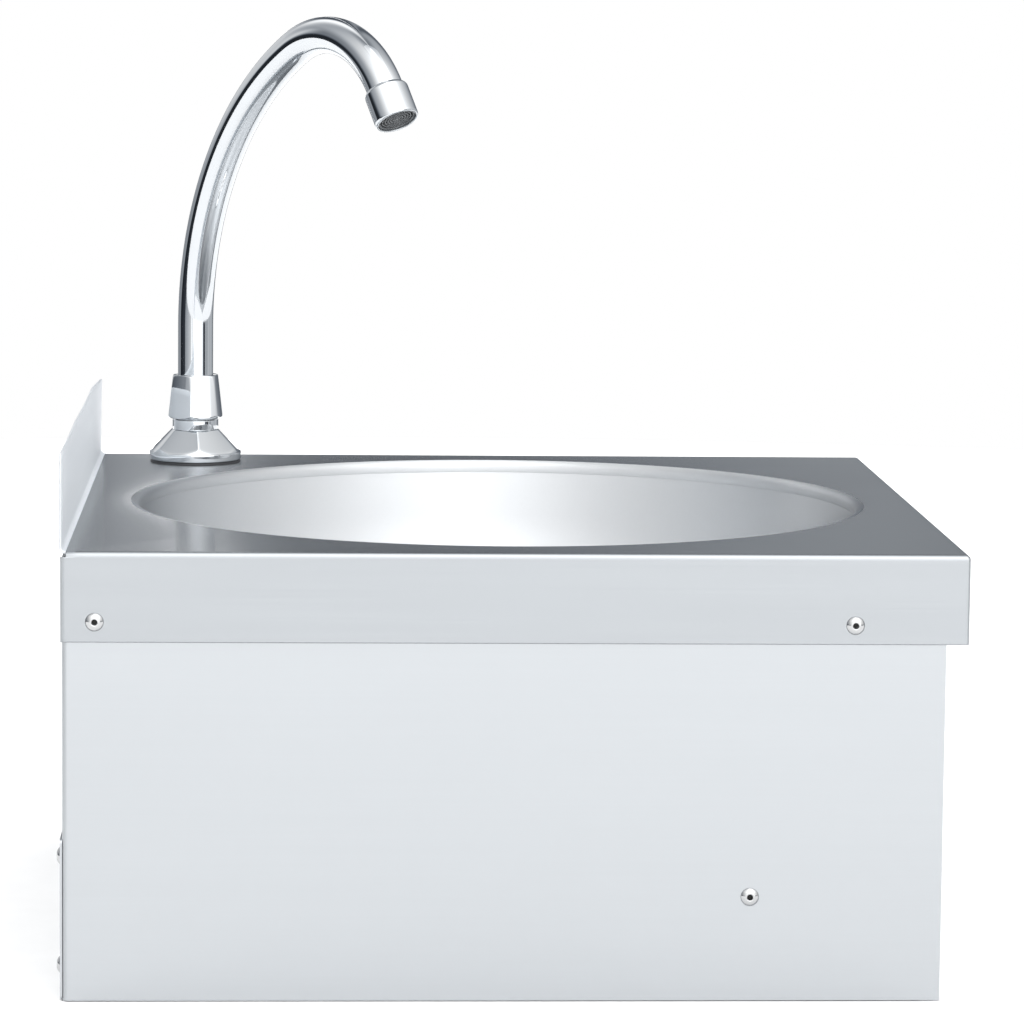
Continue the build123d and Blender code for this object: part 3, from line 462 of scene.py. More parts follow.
def braided(name, colour):
    """Woven steel braid, its strands crossing at an angle, with painted shade in the low places of the
    weave. The mesh carries the coordinates.
    """
    material, n, shader = new_material(name, metallic=1.0)
    uv = n.add("ShaderNodeTexCoord").outputs["UV"]
    parts = n.add("ShaderNodeSeparateXYZ", {"Vector": uv})
    round_hose = n.times(parts.outputs["X"], 12.0)
    along = n.times(parts.outputs["Y"], 190.0)
    heights = []
    for sign in (1.0, -1.0):
        phase = n.plus(round_hose, n.times(along, sign))
        wires = n.math("ABSOLUTE", n.math("SINE", n.times(phase, pi * 4)))
        strand = n.math("ABSOLUTE", n.math("SINE", n.times(phase, pi)))
        heights.append(n.math("MULTIPLY_ADD", strand, 0.8, n.times(wires, 0.2)))
    over = n.math("GREATER_THAN", n.math("SINE", n.times(round_hose, pi * 2)), 0.0)
    first = n.times(heights[0], n.math("MULTIPLY_ADD", over, 0.6, 0.4))
    second = n.times(heights[1], n.math("MULTIPLY_ADD", over, -0.6, 1.0))
    height = n.math("MAXIMUM", first, second)
    # colour follows the weave's height, nearly black between the strands and dimmer where a strand runs
    # under: painted shade
    stops = [(0.1, (0.03, 0.03, 0.03)), (0.55, [c * 0.8 for c in colour[:3]]), (0.95, colour[:3])]
    n.put(shader.inputs["Base Color"], n.ramp(height, stops))
    n.put(shader.inputs["Roughness"], n.math("MULTIPLY_ADD", height, -0.2, 0.45))
    bumped(n, shader, height, 0.7, 0.0006)
    return material


HOSE = braided("hose_braid", grey(0.62, 0.01))
# the mandrel stubs are near black: painted shade in the hollow of each rivet head
MANDREL_PAINTED_SHADE = satin("mandrel_painted_shade", grey(0.03, 0.0), 0.5, grain=1.0)


# ---- deck: flat top, rolled lip, bent skirts and backsplash ----


def tray_row(inset, z, corner, back=TRAY_BACK, side_steps=72, corner_steps=8):
    """One open loop round the left, front and right of the deck."""
    reach = HALF_W - inset
    front = FRONT_FACE + inset
    points = []
    for k in range(side_steps):
        points.append((-reach, back + (front + corner - back) * k / side_steps, z))
    for x, y in arc((-reach + corner, front + corner), corner, 180, 270, corner_steps):
        points.append((x, y, z))
    for k in range(1, side_steps):
        points.append((-reach + corner + 2 * (reach - corner) * k / side_steps, front, z))
    for x, y in arc((reach - corner, front + corner), corner, 270, 360, corner_steps):
        points.append((x, y, z))
    for k in range(1, side_steps + 1):
        points.append((reach, front + corner + (back - front - corner) * k / side_steps, z))
    return points


class Shell:
    """Rows of points joined into faces, for sheet-metal surfaces."""
    def __init__(self):
        self.verts, self.faces = [], []

    def row(self, points):
        start = len(self.verts)
        self.verts += points
        return list(range(start, len(self.verts)))

    def strip(self, rows, closed=False):
        for low, high in zip(rows, rows[1:]):
            faces = quads(low, high)
            self.faces += faces if closed else faces[:-1]

    @property
    def shape(self):
        return self.verts, self.faces


def fill_flat(outer, inners, z):
    """Fills the flat area between an outer outline and the holes in it."""
    work = bmesh.new()
    edges = []
    for outline in [outer] + inners:
        ring = [work.verts.new((x, y, z)) for x, y in outline]
        edges += [work.edges.new((ring[k], ring[(k + 1) % len(ring)])) for k in range(len(ring))]
    bmesh.ops.triangle_fill(work, edges=edges, use_beauty=True, use_dissolve=False)
    bmesh.ops.recalc_face_normals(work, faces=work.faces)
    work.verts.index_update()
    verts = [tuple(v.co) for v in work.verts]
    faces = [[v.index for v in face.verts] for face in work.faces]
    if sum(face.normal.z for face in work.faces) < 0:
        faces = [face[::-1] for face in faces]
    work.free()
    return verts, faces


def make_deck():
    """The deck with its skirts, the rolled lip round the bowl opening, and the backsplash."""
    shell = Shell()
    support = 0.5
    rows = [tray_row(BEND + support, DECK_TOP, 0.4), tray_row(BEND, DECK_TOP, 0.4)]
    for k in range(1, 9):
        turn = radians(90 * k / 8)
        rows.append(tray_row(BEND * (1 - sin(turn)), DECK_TOP - BEND * (1 - cos(turn)),
                             0.4 + 1.1 * sin(turn)))
    for z in (DECK_TOP - BEND - support, SKIRT_LOW + support, SKIRT_LOW):
        rows.append(tray_row(0.0, z, 1.5))
    shell.strip([shell.row(points) for points in rows[::-1]])
    # the flat top, fanned out from the bowl opening to the bends, then the opening's rolled lip
    back = TRAY_BACK
    reach = HALF_W - BEND - support
    outline = [(x, y) for x, y, _ in rows[0]]
    outline += [(reach - 2 * reach * k / 72, back) for k in range(1, 72)]
    angles = [atan2(y, x) for x, y in outline]
    lip = [(BOWL_R + LIP + 1.0, DECK_TOP), (BOWL_R + LIP, DECK_TOP)]
    lip += arc((BOWL_R + LIP, DECK_TOP - LIP), LIP, 90, 180, 8)[1:]
    lip += [(BOWL_R, DECK_TOP - LIP - support), (BOWL_R, LIP_LOW + 0.05)]
    rings = [[(r * cos(a), r * sin(a), z) for a in angles] for r, z in lip]
    shell.strip([shell.row([(x, y, DECK_TOP) for x, y in outline]), shell.row(rings[0])], closed=True)
    rolled = Shell()
    rolled.strip([rolled.row(ring) for ring in rings], closed=True)
    # skirts run on to the wall under the backsplash
    tails = Shell()
    levels = (SKIRT_LOW, SKIRT_LOW + support, DECK_TOP - BEND - support, DECK_TOP - BEND)
    for side in (-1, 1):
        upright = [tails.row([(side * HALF_W, back, z), (side * HALF_W, WALL - 0.5, z)]) for z in levels]
        tails.strip(upright[::-1] if side < 0 else upright)
    # bend up into the backsplash, with the slight waviness of a thin free edge
    splash = Shell()
    span = HALF_W - 0.2
    columns = 40
    profile = arc((back, DECK_TOP + 2), 2.0, -90, 0, 8)
    height = UPSTAND_TOP - DECK_TOP - 2.0
    profile += [(WALL - SHEET, DECK_TOP + 2.0 + height * k / 12) for k in range(1, 13)]
    splash_rows = []
    for y, z in profile:
        rise = max(0.0, z - DECK_TOP - 4) / (UPSTAND_TOP - DECK_TOP - 4)
        points = []
        for k in range(columns + 1):
            x = -span + 2 * span * k / columns
            wave = 0.45 * rise ** 2 * sin(2.3 * pi * (x + span) / (2 * span) + 0.6)
            droop = 4.1 * rise * (max(0.0, x - 95.0) / (span - 95.0)) ** 1.3
            points.append((x, y - abs(wave), z - droop))
        splash_rows.append(splash.row(points))
    splash.strip(splash_rows)
    return joined(shell.shape, tails.shape), rolled.shape, splash.shape


deck_shape, lip_shape, splash_shape = make_deck()
sheet("deck", deck_shape, DECK, ["sink_deck"])
sheet("bowl_rim_lip", lip_shape, BOWL, ["sink_deck"])
backsplash = sheet("backsplash", splash_shape, SPLASH, ["sink_deck"])
# its rear face has the plainer steel of the casing
backsplash.data.materials.append(CASING)
backsplash.modifiers["thickness"].material_offset = 1


# ---- bowl ----
HEEL, FALL = 80.0, 8.0
DISH_R, DISH_Z = 39.0, 86.0
HOLE_R = 25.5
KNEE_Z, DRAFT = 172.0, 1.5


def bowl_section(skin):
    """Inside face of the bowl for skin 0, and its outside for skin 1."""
    top = (BOWL_R + skin, LIP_LOW)
    knee = (BOWL_R - DRAFT + skin, KNEE_Z)
    lean = degrees(atan2(DRAFT, LIP_LOW - KNEE_Z))
    radius = HEEL + skin
    centre = (knee[0] - radius * cos(radians(lean)),
              knee[1] + radius * sin(radians(lean)))
    curve = arc(centre, radius, -lean, FALL - 90, 40)
    end = curve[-1]
    dish = (DISH_R, end[1] - (end[0] - DISH_R) * tan(radians(FALL)))
    return [top] + curve + [dish]


inner = bowl_section(0.0)
outer = bowl_section(SHEET)
dish_edge = rounded([inner[-2], inner[-1], (DISH_R - 2, DISH_Z), (HOLE_R, DISH_Z)], 1.6, closed=False)
section = inner[:-2] + dish_edge + [(HOLE_R, DISH_Z - SHEET), (DISH_R - 1.5, DISH_Z - SHEET)]
section += outer[::-1]
piece("bowl", lathe(section, steps=224), BOWL, ["sink_bowl"], sharp=30)


# ---- blind rivets ----
RIVET_HEAD = 4.1


def rivet_shape(grip):
    """Set blind rivet: domed head, hollow where the mandrel broke off, shank and bulged tail."""
    head = [(1.25, -1.5), (1.25, 1.45), (1.42, 1.72), (1.75, 1.8)]
    head += [(2.35, 1.62), (2.95, 1.28), (3.5, 0.86), (3.9, 0.44), (RIVET_HEAD, 0.16), (RIVET_HEAD, 0.0)]
    tail = [(2.0, 0.0), (2.0, -grip)] + [(2.0 + 1.1 * sin(pi * t / 8), -grip - 3.4 * t / 8)
                                         for t in range(1, 9)]
    return lathe(head + tail + [(0.6, -grip - 3.8), (0.6, -1.5)], steps=48)


def mandrel_shape():
    profile = [(0.0, 0.3), (0.8, 0.45), (1.15, 0.25), (1.24, -1.2), (0.0, -1.2)]
    return lathe(profile, closed=False, steps=32)


SKIRT_RIVETS = ((184.6, 169.0), (-149.4, 168.5))
PANEL_RIVET = (-104.7, 46.8)
BACK_RIVETS_X, BACK_RIVETS_Z = (-188.0, 188.0), (14.0, 63.0)
SIDES = (-1, 1)
# each group's places as (position, direction of the head), and its grip
rivet_groups = {
    "deck_rivets": ([((s * HALF_W, *at), (s, 0, 0)) for s in SIDES for at in SKIRT_RIVETS], 2.0),
    "bracket_rivets": ([((s * (HALF_W - SHEET), *PANEL_RIVET), (s, 0, 0)) for s in SIDES], 2.5),
    "back_rivets": ([((x, WALL, z), (0, 1, 0)) for x in BACK_RIVETS_X for z in BACK_RIVETS_Z], 2.0),
}
for name, (places, grip) in rivet_groups.items():
    spots = [stand(*place, axis=axis) for place, axis in places]
    heads = [moved(rivet_shape(grip), spot) for spot in spots]
    stubs = [moved(mandrel_shape(), spot) for spot in spots]
    piece(name + "_set", joined(*heads), RIVET, [name], sharp=50)
    # near-black stubs: painted shade in the rivet hollows
    piece(name + "_mandrels", joined(*stubs), MANDREL_PAINTED_SHADE, sharp=50)


# ---- tap ----
tap_place = Matrix.Translation((TAP_X, TAP_Y, 0))
SEAT = gasket_high.z

gasket = rounded([(11.0, DECK_TOP), (23.2, DECK_TOP), (22.8, SEAT), (11.0, SEAT)], 0.4)
piece("tap_gasket_ring", moved(lathe(gasket), tap_place), RUBBER, ["tap_gasket"])

RIM_TOP, CONE_TOP, COLLAR_TOP = SEAT + 4.0, 217.0, 222.0
rim = rounded([(10.5, SEAT), (23.5, SEAT), (23.5, RIM_TOP), (22.6, RIM_TOP + 0.05), (10.5, RIM_TOP)], 0.6)
cone_levels = []
for k in range(25):
    t = k / 24
    z = RIM_TOP - 0.6 + (CONE_TOP - RIM_TOP + 0.6) * t
    apothem = (26.0 + (13.0 - 26.0) * t) * cos(pi / 6) + 0.3
    facets = polygon_radius(apothem, 6, turn=6.0, crisp=90, bulge=apothem * 4.5)
    cone_levels.append((z, smaller(facets, lambda angle: 23.0, crisp=60)))
cone = polar(cone_levels, steps=240, bore=10.3)
collar = rounded(ring_section(10.3, 11.75, CONE_TOP - 1, COLLAR_TOP), 0.5)
neck = [(10.0, COLLAR_TOP - 1), (10.0, 232.0), (7.5, 232.0), (7.5, COLLAR_TOP - 1)]
tail = rounded([(6.5, 150.0), (10.4, 150.0), (10.48, 151.0), (10.48, SEAT + 1), (6.5, SEAT + 1)], 0.4)
base = joined(lathe(rim), cone, lathe(collar), lathe(neck), lathe(tail))
piece("tap_base_body", moved(base, tap_place), CHROME, ["tap_base"], sharp=55)


def nut_levels(profile, turn, corner_low, corner_high, crisp=60, bulge=None):
    """Hexagon that tapers, cut by a turned profile: (height, turned radius) pairs."""
    low, high = profile[0][0], profile[-1][0]

    def level(z, r, corner):
        apothem = corner * cos(pi / 6)
        hexagon = polygon_radius(apothem, 6, turn=turn, crisp=crisp, bulge=bulge)
        return z, smaller(hexagon, lambda angle: r, crisp=crisp)

    levels = []
    for (z0, r0), (z1, r1) in zip(profile, profile[1:]):
        steps = max(2, int((z1 - z0) / 0.45))
        for k in range(steps):
            t = k / steps
            z, r = z0 + (z1 - z0) * t, r0 + (r1 - r0) * t
            corner = corner_low + (corner_high - corner_low) * (z - low) / (high - low)
            levels.append(level(z, r, corner))
    return levels + [level(*profile[-1], corner_high)]


nut_profile = [(222.6, 13.2), (222.8, 13.7), (224.0, 15.0), (230.0, 14.6), (244.0, 12.2), (244.6, 12.0),
               (245.0, 11.3)]
nut = polar(nut_levels(nut_profile, -9.0, 15.6, 12.8, crisp=110, bulge=50.0), steps=360, bore=9.15,
            counterbore=(10.0, 237.5))
piece("spout_union_nut", moved(nut, tap_place), CHROME, ["spout_nut"], sharp=60)


# ---- spout ----
TUBE_R, TUBE_WALL = 9.0, 1.0
SPOUT_TURN = radians(36.0)
SPOUT_FOOT_Z, RISER_TOP_Z, NOSE_LENGTH = 235.3, 270.0, 3.0
# the two bends: radius, heading in degrees at the end of the bend, steps
SPOUT_BENDS = ((163.0, 27.5, 44), (56.0, -57.0, 44))
LEAN = Vector((-cos(SPOUT_TURN), -sin(SPOUT_TURN), 0))
UP = Vector((0, 0, 1))


def spout_path():
    """Points and directions along the spout's centre line."""
    def place(u, w):
        return Vector((TAP_X, TAP_Y, 0)) + LEAN * u + UP * w

    def heading(h):
        return LEAN * cos(h) + UP * sin(h)

    riser = RISER_TOP_Z - SPOUT_FOOT_Z
    path = [(place(0, SPOUT_FOOT_Z + riser * k / 4), UP.copy()) for k in range(4)]
    u, w, start = 0.0, RISER_TOP_Z, 90.0
    for radius, end, steps in SPOUT_BENDS:
        side = radians(start)
        cu, cw = u + radius * sin(side), w - radius * cos(side)
        for k in range(steps + 1):
            h = radians(start + (end - start) * k / steps)
            if k or start == 90.0:
                path.append((place(cu - radius * sin(h), cw + radius * cos(h)), heading(h)))
        h = radians(end)
        u, w, start = cu - radius * sin(h), cw + radius * cos(h), end
    h = radians(start)
    path.append((place(u + NOSE_LENGTH * cos(h), w + NOSE_LENGTH * sin(h)), heading(h)))
    return path


centre_line = spout_path()
tube = sweep_tube(centre_line, (TUBE_R, TUBE_R - TUBE_WALL), steps=72)
piece("spout_swan_neck", tube, CHROME, ["spout_tube"], body="spout", sharp=50)

nose_point, nose_heading = centre_line[-1]
nose = stand(*nose_point, axis=nose_heading)
housing = [(9.05, -3.0), (9.7, -3.05), (10.35, -2.4), (10.85, -1.5), (10.9, -0.9), (10.9, 13.6),
           (10.75, 14.3), (10.4, 14.85), (9.95, 15.0), (9.6, 14.8), (9.55, 14.2), (9.55, 1.0), (9.05, 1.0)]
housing = lathe(rounded(housing, 0.25, steps=3), steps=120)
piece("aerator_shell", moved(housing, nose), CHROME, ["aerator_housing"], body="spout", sharp=50)
FACE = 14.0
cup = lathe(rounded([(8.3, 2.5), (9.5, 2.5), (9.5, FACE - 0.2), (8.3, FACE)], 0.3), steps=96)
rings = [lathe(rounded(ring_section(r - 0.33, r + 0.33, FACE - 3.0, FACE - 0.3), 0.2), steps=72)
         for r in (1.6, 3.0, 4.4, 5.8, 7.2)]


def bar(length, width, low, high, turn):
    """A bar with its middle on the axis. Length and width are half sizes."""
    c, s = cos(turn), sin(turn)
    corners = [(-length, -width), (length, -width), (length, width), (-length, width)]
    flat = [(x * c - y * s, x * s + y * c) for x, y in corners]
    verts = [(x, y, z) for z in (low, high) for x, y in flat]
    low_ring, high_ring = [0, 1, 2, 3], [4, 5, 6, 7]
    return verts, [low_ring[::-1], high_ring] + quads(low_ring, high_ring)


ribs = [bar(8.6, 0.22, FACE - 3.2, FACE - 0.5, pi * k / 6) for k in range(6)]
hub = lathe(ring_section(0.0, 1.0, FACE - 3.2, FACE - 0.3), closed=False, steps=32)
piece("aerator_grid", moved(joined(cup, hub, *rings, *ribs), nose), GREY_PLASTIC, ["aerator_insert"],
      body="spout", sharp=35)
mesh_disc = lathe(ring_section(0.0, 8.4, FACE - 4.4, FACE - 4.0), closed=False, steps=64)
piece("aerator_screen", moved(mesh_disc, nose), POLISHED, body="spout", sharp=35)


# ---- waste fitting ----
FLANGE_TOP = DISH_Z + 2.5
flange = rounded([(20.5, DISH_Z - 5.5), (22.0, DISH_Z - 5.5), (22.0, DISH_Z + 1.0), (35.5, DISH_Z + 1.0),
                  (35.5, FLANGE_TOP - 0.6), (34.4, FLANGE_TOP), (31.0, FLANGE_TOP - 0.2),
                  (21.8, DISH_Z + 1.6), (20.5, DISH_Z + 0.2)], 0.5)


def grid_shape():
    """Perforated disc of the strainer, with a straight wall round each hole."""
    top, low = DISH_Z - 4.0, DISH_Z - 5.5
    holes = [((15 * cos(a), 15 * sin(a)), 4.0) for a in (pi * k / 4 for k in range(8))]
    holes += [((7.6 * cos(a), 7.6 * sin(a)), 2.2)
              for a in (pi * (k + 0.25) / 2 for k in range(4))]
    shapes = []
    for z, flip in ((top, False), (low, True)):
        verts, faces = fill_flat(circle(20.9, 96), [circle(r, 40, c) for c, r in holes], z)
        shapes.append((verts, [f[::-1] for f in faces] if flip else faces))
    shell = Shell()
    for centre, r in holes:
        edge = circle(r, 40, centre)
        rows = [shell.row([(x, y, z) for x, y in edge]) for z in (top, (top + low) / 2, low)]
        shell.strip(rows, closed=True)
    return joined(*shapes, shell.shape)


piece("waste_flange_ring", lathe(flange, steps=144), POLISHED, ["strainer_flange"], sharp=50)
piece("waste_grid", grid_shape(), POLISHED)
head = DISH_Z - 4.0
screw = [(0.0, 58.0), (2.3, 58.0), (2.5, 58.4), (2.5, head), (5.0, head), (5.05, head + 0.9),
         (4.6, head + 1.6), (3.4, head + 2.2), (1.6, head + 2.55), (0.0, head + 2.6)]
piece("waste_centre_screw", lathe(screw, closed=False, steps=64), POLISHED, ["waste_screw"], sharp=50)
body_wall = rounded([(20.5, 14.0), (23.2, 14.0), (23.9, 14.8), (23.9, 47.6), (22.9, 48.2), (22.9, 49.8),
                     (23.9, 50.4), (23.9, 80.0), (20.5, 80.0)], 0.3)


def thread(radius, low, high, pitch, depth, centre=(0, 0, 0), axis=(0, 0, 1), steps=48):
    """Shallow helical thread ridge laid on a cylinder."""
    turns = (high - low) / pitch
    count = int(turns * steps)
    verts, faces = [], []
    for i in range(count + 1):
        a = 2 * pi * i / steps
        z = low + (high - low) * i / count
        fade = min(1.0, i / steps, (count - i) / steps)
        for dr, dz in ((-0.1, -pitch * 0.42), (depth * fade, 0.0), (-0.1, pitch * 0.42)):
            verts.append(((radius + dr) * cos(a), (radius + dr) * sin(a), z + dz))
    for i in range(count):
        for k in range(2):
            faces.append([3 * i + k, 3 * i + k + 1, 3 * i + k + 4, 3 * i + k + 3])
    return moved((verts, faces), stand(*centre, axis=axis))


waste_thread = thread(23.55, 16.0, 46.0, 2.3, 0.34, steps=72)
spider = joined(*[bar(21.0, 2.5, 62.0, 67.0, pi * k / 2) for k in range(2)])
boss = lathe(rounded(ring_section(2.6, 6.0, 61.5, 67.5), 0.5), steps=48)
waste_tail = joined(lathe(body_wall, steps=128), waste_thread, spider, boss)
piece("waste_tail", waste_tail, WHITE_PLASTIC, ["waste_body"])
NUT_Z = DISH_Z - SHEET - 3.0
nut_profile = [(NUT_Z - 12.0, 32.4), (NUT_Z - 11.0, 33.4), (NUT_Z - 2.0, 34.0)]
nut_body = polar(nut_levels(nut_profile, 15.0, 34.0, 34.0), steps=240, bore=24.0)
nut_flange = lathe(rounded(ring_section(24.0, 33.0, NUT_Z - 2.0, NUT_Z), 0.5), steps=128)
wing = bar(2.2, 1.4, NUT_Z - 11.5, NUT_Z - 2.5, 0.0)
outward = Matrix.Translation((30.2, 0, 0))
wings = [moved(wing, Matrix.Rotation(pi * (k + 0.5) / 3, 4, "Z") @ outward) for k in range(6)]
waste_nut = joined(nut_body, nut_flange, *wings)
piece("waste_locking_nut", waste_nut, WHITE_PLASTIC, ["waste_backnut"], sharp=45)


# ---- hexagon nuts and threaded parts under the deck ----
def hex_nut(across, height, bore, turn=0.0):
    """Machined hexagon nut, both ends chamfered to a cone."""
    corner = across / cos(pi / 6) / 2
    flat = across / 2
    profile = [(0.0, flat * 0.97), (0.9, corner * 0.995), (1.3, corner + 1), (height - 1.3, corner + 1),
               (height - 0.9, corner * 0.995), (height, flat * 0.97)]
    return polar(nut_levels(profile, turn, corner, corner, crisp=120), steps=192, bore=bore)


VALVE_Z = 47.0
DECK_UNDER = DECK_TOP - SHEET
place = stand(TAP_X, TAP_Y, DECK_UNDER - 13.0)
piece("tap_fixing_nut", moved(hex_nut(30.0, 9.0, 10.55), place), BRASS, ["tap_backnut"])
tail_thread = thread(10.25, 152.0, 196.0, 1.81, 0.25, centre=(TAP_X, TAP_Y, 0))
piece("tap_tail_thread", tail_thread, CHROME, sharp=60)
for name, z, thick, material, node in (
        ("tap_rubber_washer", DECK_UNDER - 2.5, 2.5, RUBBER, "tap_under_washer"),
        ("tap_thrust_washer", DECK_UNDER - 4.0, 1.5, ZINC, "tap_steel_washer")):
    washer = rounded(ring_section(11.0, 18.0, z, z + thick), 0.35)
    piece(name, moved(lathe(washer), tap_place), material, [node])

OUTLET_END, PORT_Y, TAIL_END = 38.0, -110.0, 150.0
ends = {"valve": stand(OUTLET_END, PORT_Y, VALVE_Z, axis=(1, 0, 0)),
        "tap": stand(TAP_X, TAP_Y, TAIL_END, axis=(0, 0, -1))}
for end, matrix in ends.items():
    union = moved(hex_nut(24.0, 17.0, 8.2), matrix @ Matrix.Translation((0, 0, -13.0)))
    piece("hose_union_" + end, union, NICKEL, ["hose_nut_" + end])
sleeves = []
for matrix in ends.values():
    outline = [(6.4, 5.0), (8.0, 5.0), (8.0, 7.6)]
    for z in (8.4, 12.2, 16.0):
        outline += [(8.0, z), (7.55, z + 0.7), (7.5, z + 1.6), (8.0, z + 2.3)]
    outline += [(8.0, 21.8), (7.7, 22.8), (7.1, 23.0), (6.4, 23.0)]
    sleeves.append(moved(lathe(rounded(outline, 0.3, steps=3), steps=72), matrix))
piece("hose_crimp_sleeves", joined(*sleeves), POLISHED, ["hose_ferrules"], sharp=50)


# ---- supply hose ----
def hose_path(step=2.0):
    """Centre line of the hose: straights and two quarter bends, as points and directions."""
    corners = [Vector((OUTLET_END + 6.0, PORT_Y, VALVE_Z)), Vector((TAP_X, PORT_Y, VALVE_Z)),
               Vector((TAP_X, TAP_Y, VALVE_Z)), Vector((TAP_X, TAP_Y, TAIL_END - 6.0))]
    path = []
    start = corners[0]
    for i, radius in ((1, 90.0), (2, 75.0)):
        arriving = (corners[i] - corners[i - 1]).normalized()
        leaving = (corners[i + 1] - corners[i]).normalized()
        bend_start = corners[i] - arriving * radius
        length = (bend_start - start).length
        count = max(1, round(length / step))
        path += [(start + arriving * length * k / count, arriving) for k in range(count)]
        centre = bend_start + leaving * radius
        count = round(radius * pi / 2 / step)
        for k in range(count):
            a = pi / 2 * k / count
            path.append((centre - leaving * radius * cos(a) + arriving * radius * sin(a),
                         arriving * cos(a) + leaving * sin(a)))
        start = centre + arriving * radius
    count = max(1, round((corners[3] - start).length / step))
    path += [(start + (corners[3] - start) * k / count, leaving) for k in range(count + 1)]
    return path


def make_hose(path, radius, steps=40):
    """Round hose with coordinates round and along it for the weave."""
    verts, rows, faces, uvs = [], [], [], []
    side = UP
    travelled, previous = 0.0, path[0][0]
    for point, tangent in path:
        travelled += (point - previous).length
        previous = point
        side = (side - tangent * side.dot(tangent)).normalized()
        other = tangent.cross(side)
        rows.append((len(verts), travelled))
        for k in range(steps):
            a = 2 * pi * k / steps
            verts.append(tuple(point + (side * cos(a) + other * sin(a)) * radius))
    for (low, v0), (high, v1) in zip(rows, rows[1:]):
        for k in range(steps):
            n = (k + 1) % steps
            faces.append([low + k, low + n, high + n, high + k])
            u0, u1 = k / steps, (k + 1) / steps
            uvs += [(u0, v0 * MM), (u1, v0 * MM), (u1, v1 * MM), (u0, v1 * MM)]
    return verts, faces, uvs


verts, faces, uvs = make_hose(hose_path(), 6.5)
hose = bpy.data.meshes.new("supply_hose_braid")
hose.from_pydata([Vector(v) * MM for v in verts], [], faces)
hose.uv_layers.new(name="braid").data.foreach_set("uv", [c for uv in uvs for c in uv])
hose.polygons.foreach_set("use_smooth", [True] * len(hose.polygons))
placed("supply_hose_braid", hose, HOSE, ["supply_hose"])


# ---- valve ----
front_axis = stand(0, 0, VALVE_Z, axis=(0, 1, 0))
WEB_Y, BODY_BACK = -125.0, -66.0
locknut = moved(hex_nut(32.0, 6.0, 12.0), front_axis @ Matrix.Translation((0, 0, WEB_Y - 6.0)))
piece("valve_fixing_nut", locknut, NICKEL, ["valve_locknut"])
cap_nut = moved(hex_nut(28.0, 6.0, None), front_axis @ Matrix.Translation((0, 0, BODY_BACK)))
piece("valve_cap", cap_nut, BRASS, ["valve_end_cap"])
barrel = rounded([(11.0, -98.0), (6.0, -98.0), (6.0, -140.0), (11.2, -140.0), (12.0, -139.2),
                  (12.0, -123.5), (18.0, -123.5), (18.0, -118.5), (16.0, -118.5), (16.0, -100.0),
                  (16.0, -66.6), (15.4, -66.0), (11.0, -66.0)], 0.6)
barrel = moved(lathe(barrel, steps=112), front_axis)
nipple = rounded([(5.5, 12.0), (10.3, 12.0), (10.3, 37.2), (9.6, 38.0), (5.5, 38.0)], 0.4)
nipple = moved(lathe(nipple, steps=72), stand(0, PORT_Y, VALVE_Z, axis=(1, 0, 0)))
INLET_Y = -82.0
inlet = rounded([(6.0, 9.0), (9.6, 9.0), (10.3, 9.8), (10.3, 27.0), (13.0, 27.0), (13.0, 34.0),
                 (6.0, 34.0)], 0.4)
inlet = moved(lathe(inlet, steps=72), stand(0, INLET_Y, 0))
inlet_thread = thread(10.2, 10.5, 26.0, 1.81, 0.25, centre=(0, INLET_Y, 0))
neck_thread = thread(11.75, -138.5, -132.0, 1.5, 0.24, centre=(0, 0, VALVE_Z), axis=(0, 1, 0))
casting = joined(barrel, nipple, inlet, inlet_thread, neck_thread)
piece("valve_casting", casting, BRASS, ["valve_body"], sharp=45)

TIP = node_box("push_button")[0].y
button = [(0.0, 0.0), (3.0, 0.1), (6.0, 0.4), (9.0, 1.0), (10.6, 1.45), (11.5, 2.1), (12.0, 3.2),
          (12.0, 7.5), (11.7, 8.0), (11.2, 8.2), (6.5, 8.2), (6.5, 12.3), (6.2, 12.5), (4.02, 12.5)]
button = lathe([(r, TIP + depth) for r, depth in button], closed=False, steps=96)
piece("valve_button_cap", moved(button, front_axis), CHROME, ["push_button"], body="valve_button",
      sharp=35)

spring_low, spring_high = node_box("valve_spring")


def coil(radius, wire, start, end, turns, steps=40, sides=12):
    """Compression spring with its end turns closed."""
    verts, rows = [], []
    count = int(turns * steps)
    for i in range(count + 1):
        t = i / count
        a = 2 * pi * turns * t
        closed = 0.5 - 0.5 * cos(pi * min(1, max(0, (t - 0.06) / 0.88)))
        y = start + (end - start) * (0.25 * closed + 0.75 * t)
        out = Vector((cos(a), 0, sin(a)))
        rows.append([len(verts) + k for k in range(sides)])
        for k in range(sides):
            b = 2 * pi * k / sides
            level = Vector((0, y + wire * sin(b), VALVE_Z))
            verts.append(tuple(out * (radius + wire * cos(b)) + level))
    faces = []
    for low, high in zip(rows, rows[1:]):
        faces += quads(low, high)
    return verts, faces + [rows[0][::-1], rows[-1]]


WIRE_R = 0.7
wound = coil(7.2, WIRE_R, spring_low.y + WIRE_R, spring_high.y - WIRE_R, 5)
spring = piece("valve_return_spring", wound, SPRING, ["valve_spring"], body=None, sharp=60)
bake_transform(spring)


# ---- finishes for the pieces that keep their CAD shape ----
FINISHES = (
    (CASING, "side_panel_left side_panel_right lower_back_plate upper_wall_rail"),
    (PANEL, "knee_panel"),
    (BRACKET, "valve_bracket stop_brackets"),
    (POLISHED, "hinge_rod valve_plunger"),
    (ZINC, "hinge_rod_clips"),
    (BRASS, "spout_foot"),
    (WHITE_NYLON, "hinge_bushes valve_stem_guide spout_slip_ring"),
    (BLACK_NYLON, "striker_pad"),
    (RUBBER, "stop_bumpers valve_stem_seal valve_seal_washer waste_top_gasket waste_under_washer"),
    (RUBBER, "spout_orings aerator_washer hose_washers"),
)
for material, names in FINISHES:
    for name in names.split():
        obj = NODES[name]
        for slot_index in range(len(obj.material_slots)):
            obj.material_slots[slot_index].material = material
        if not obj.material_slots:
            obj.data.materials.append(material)


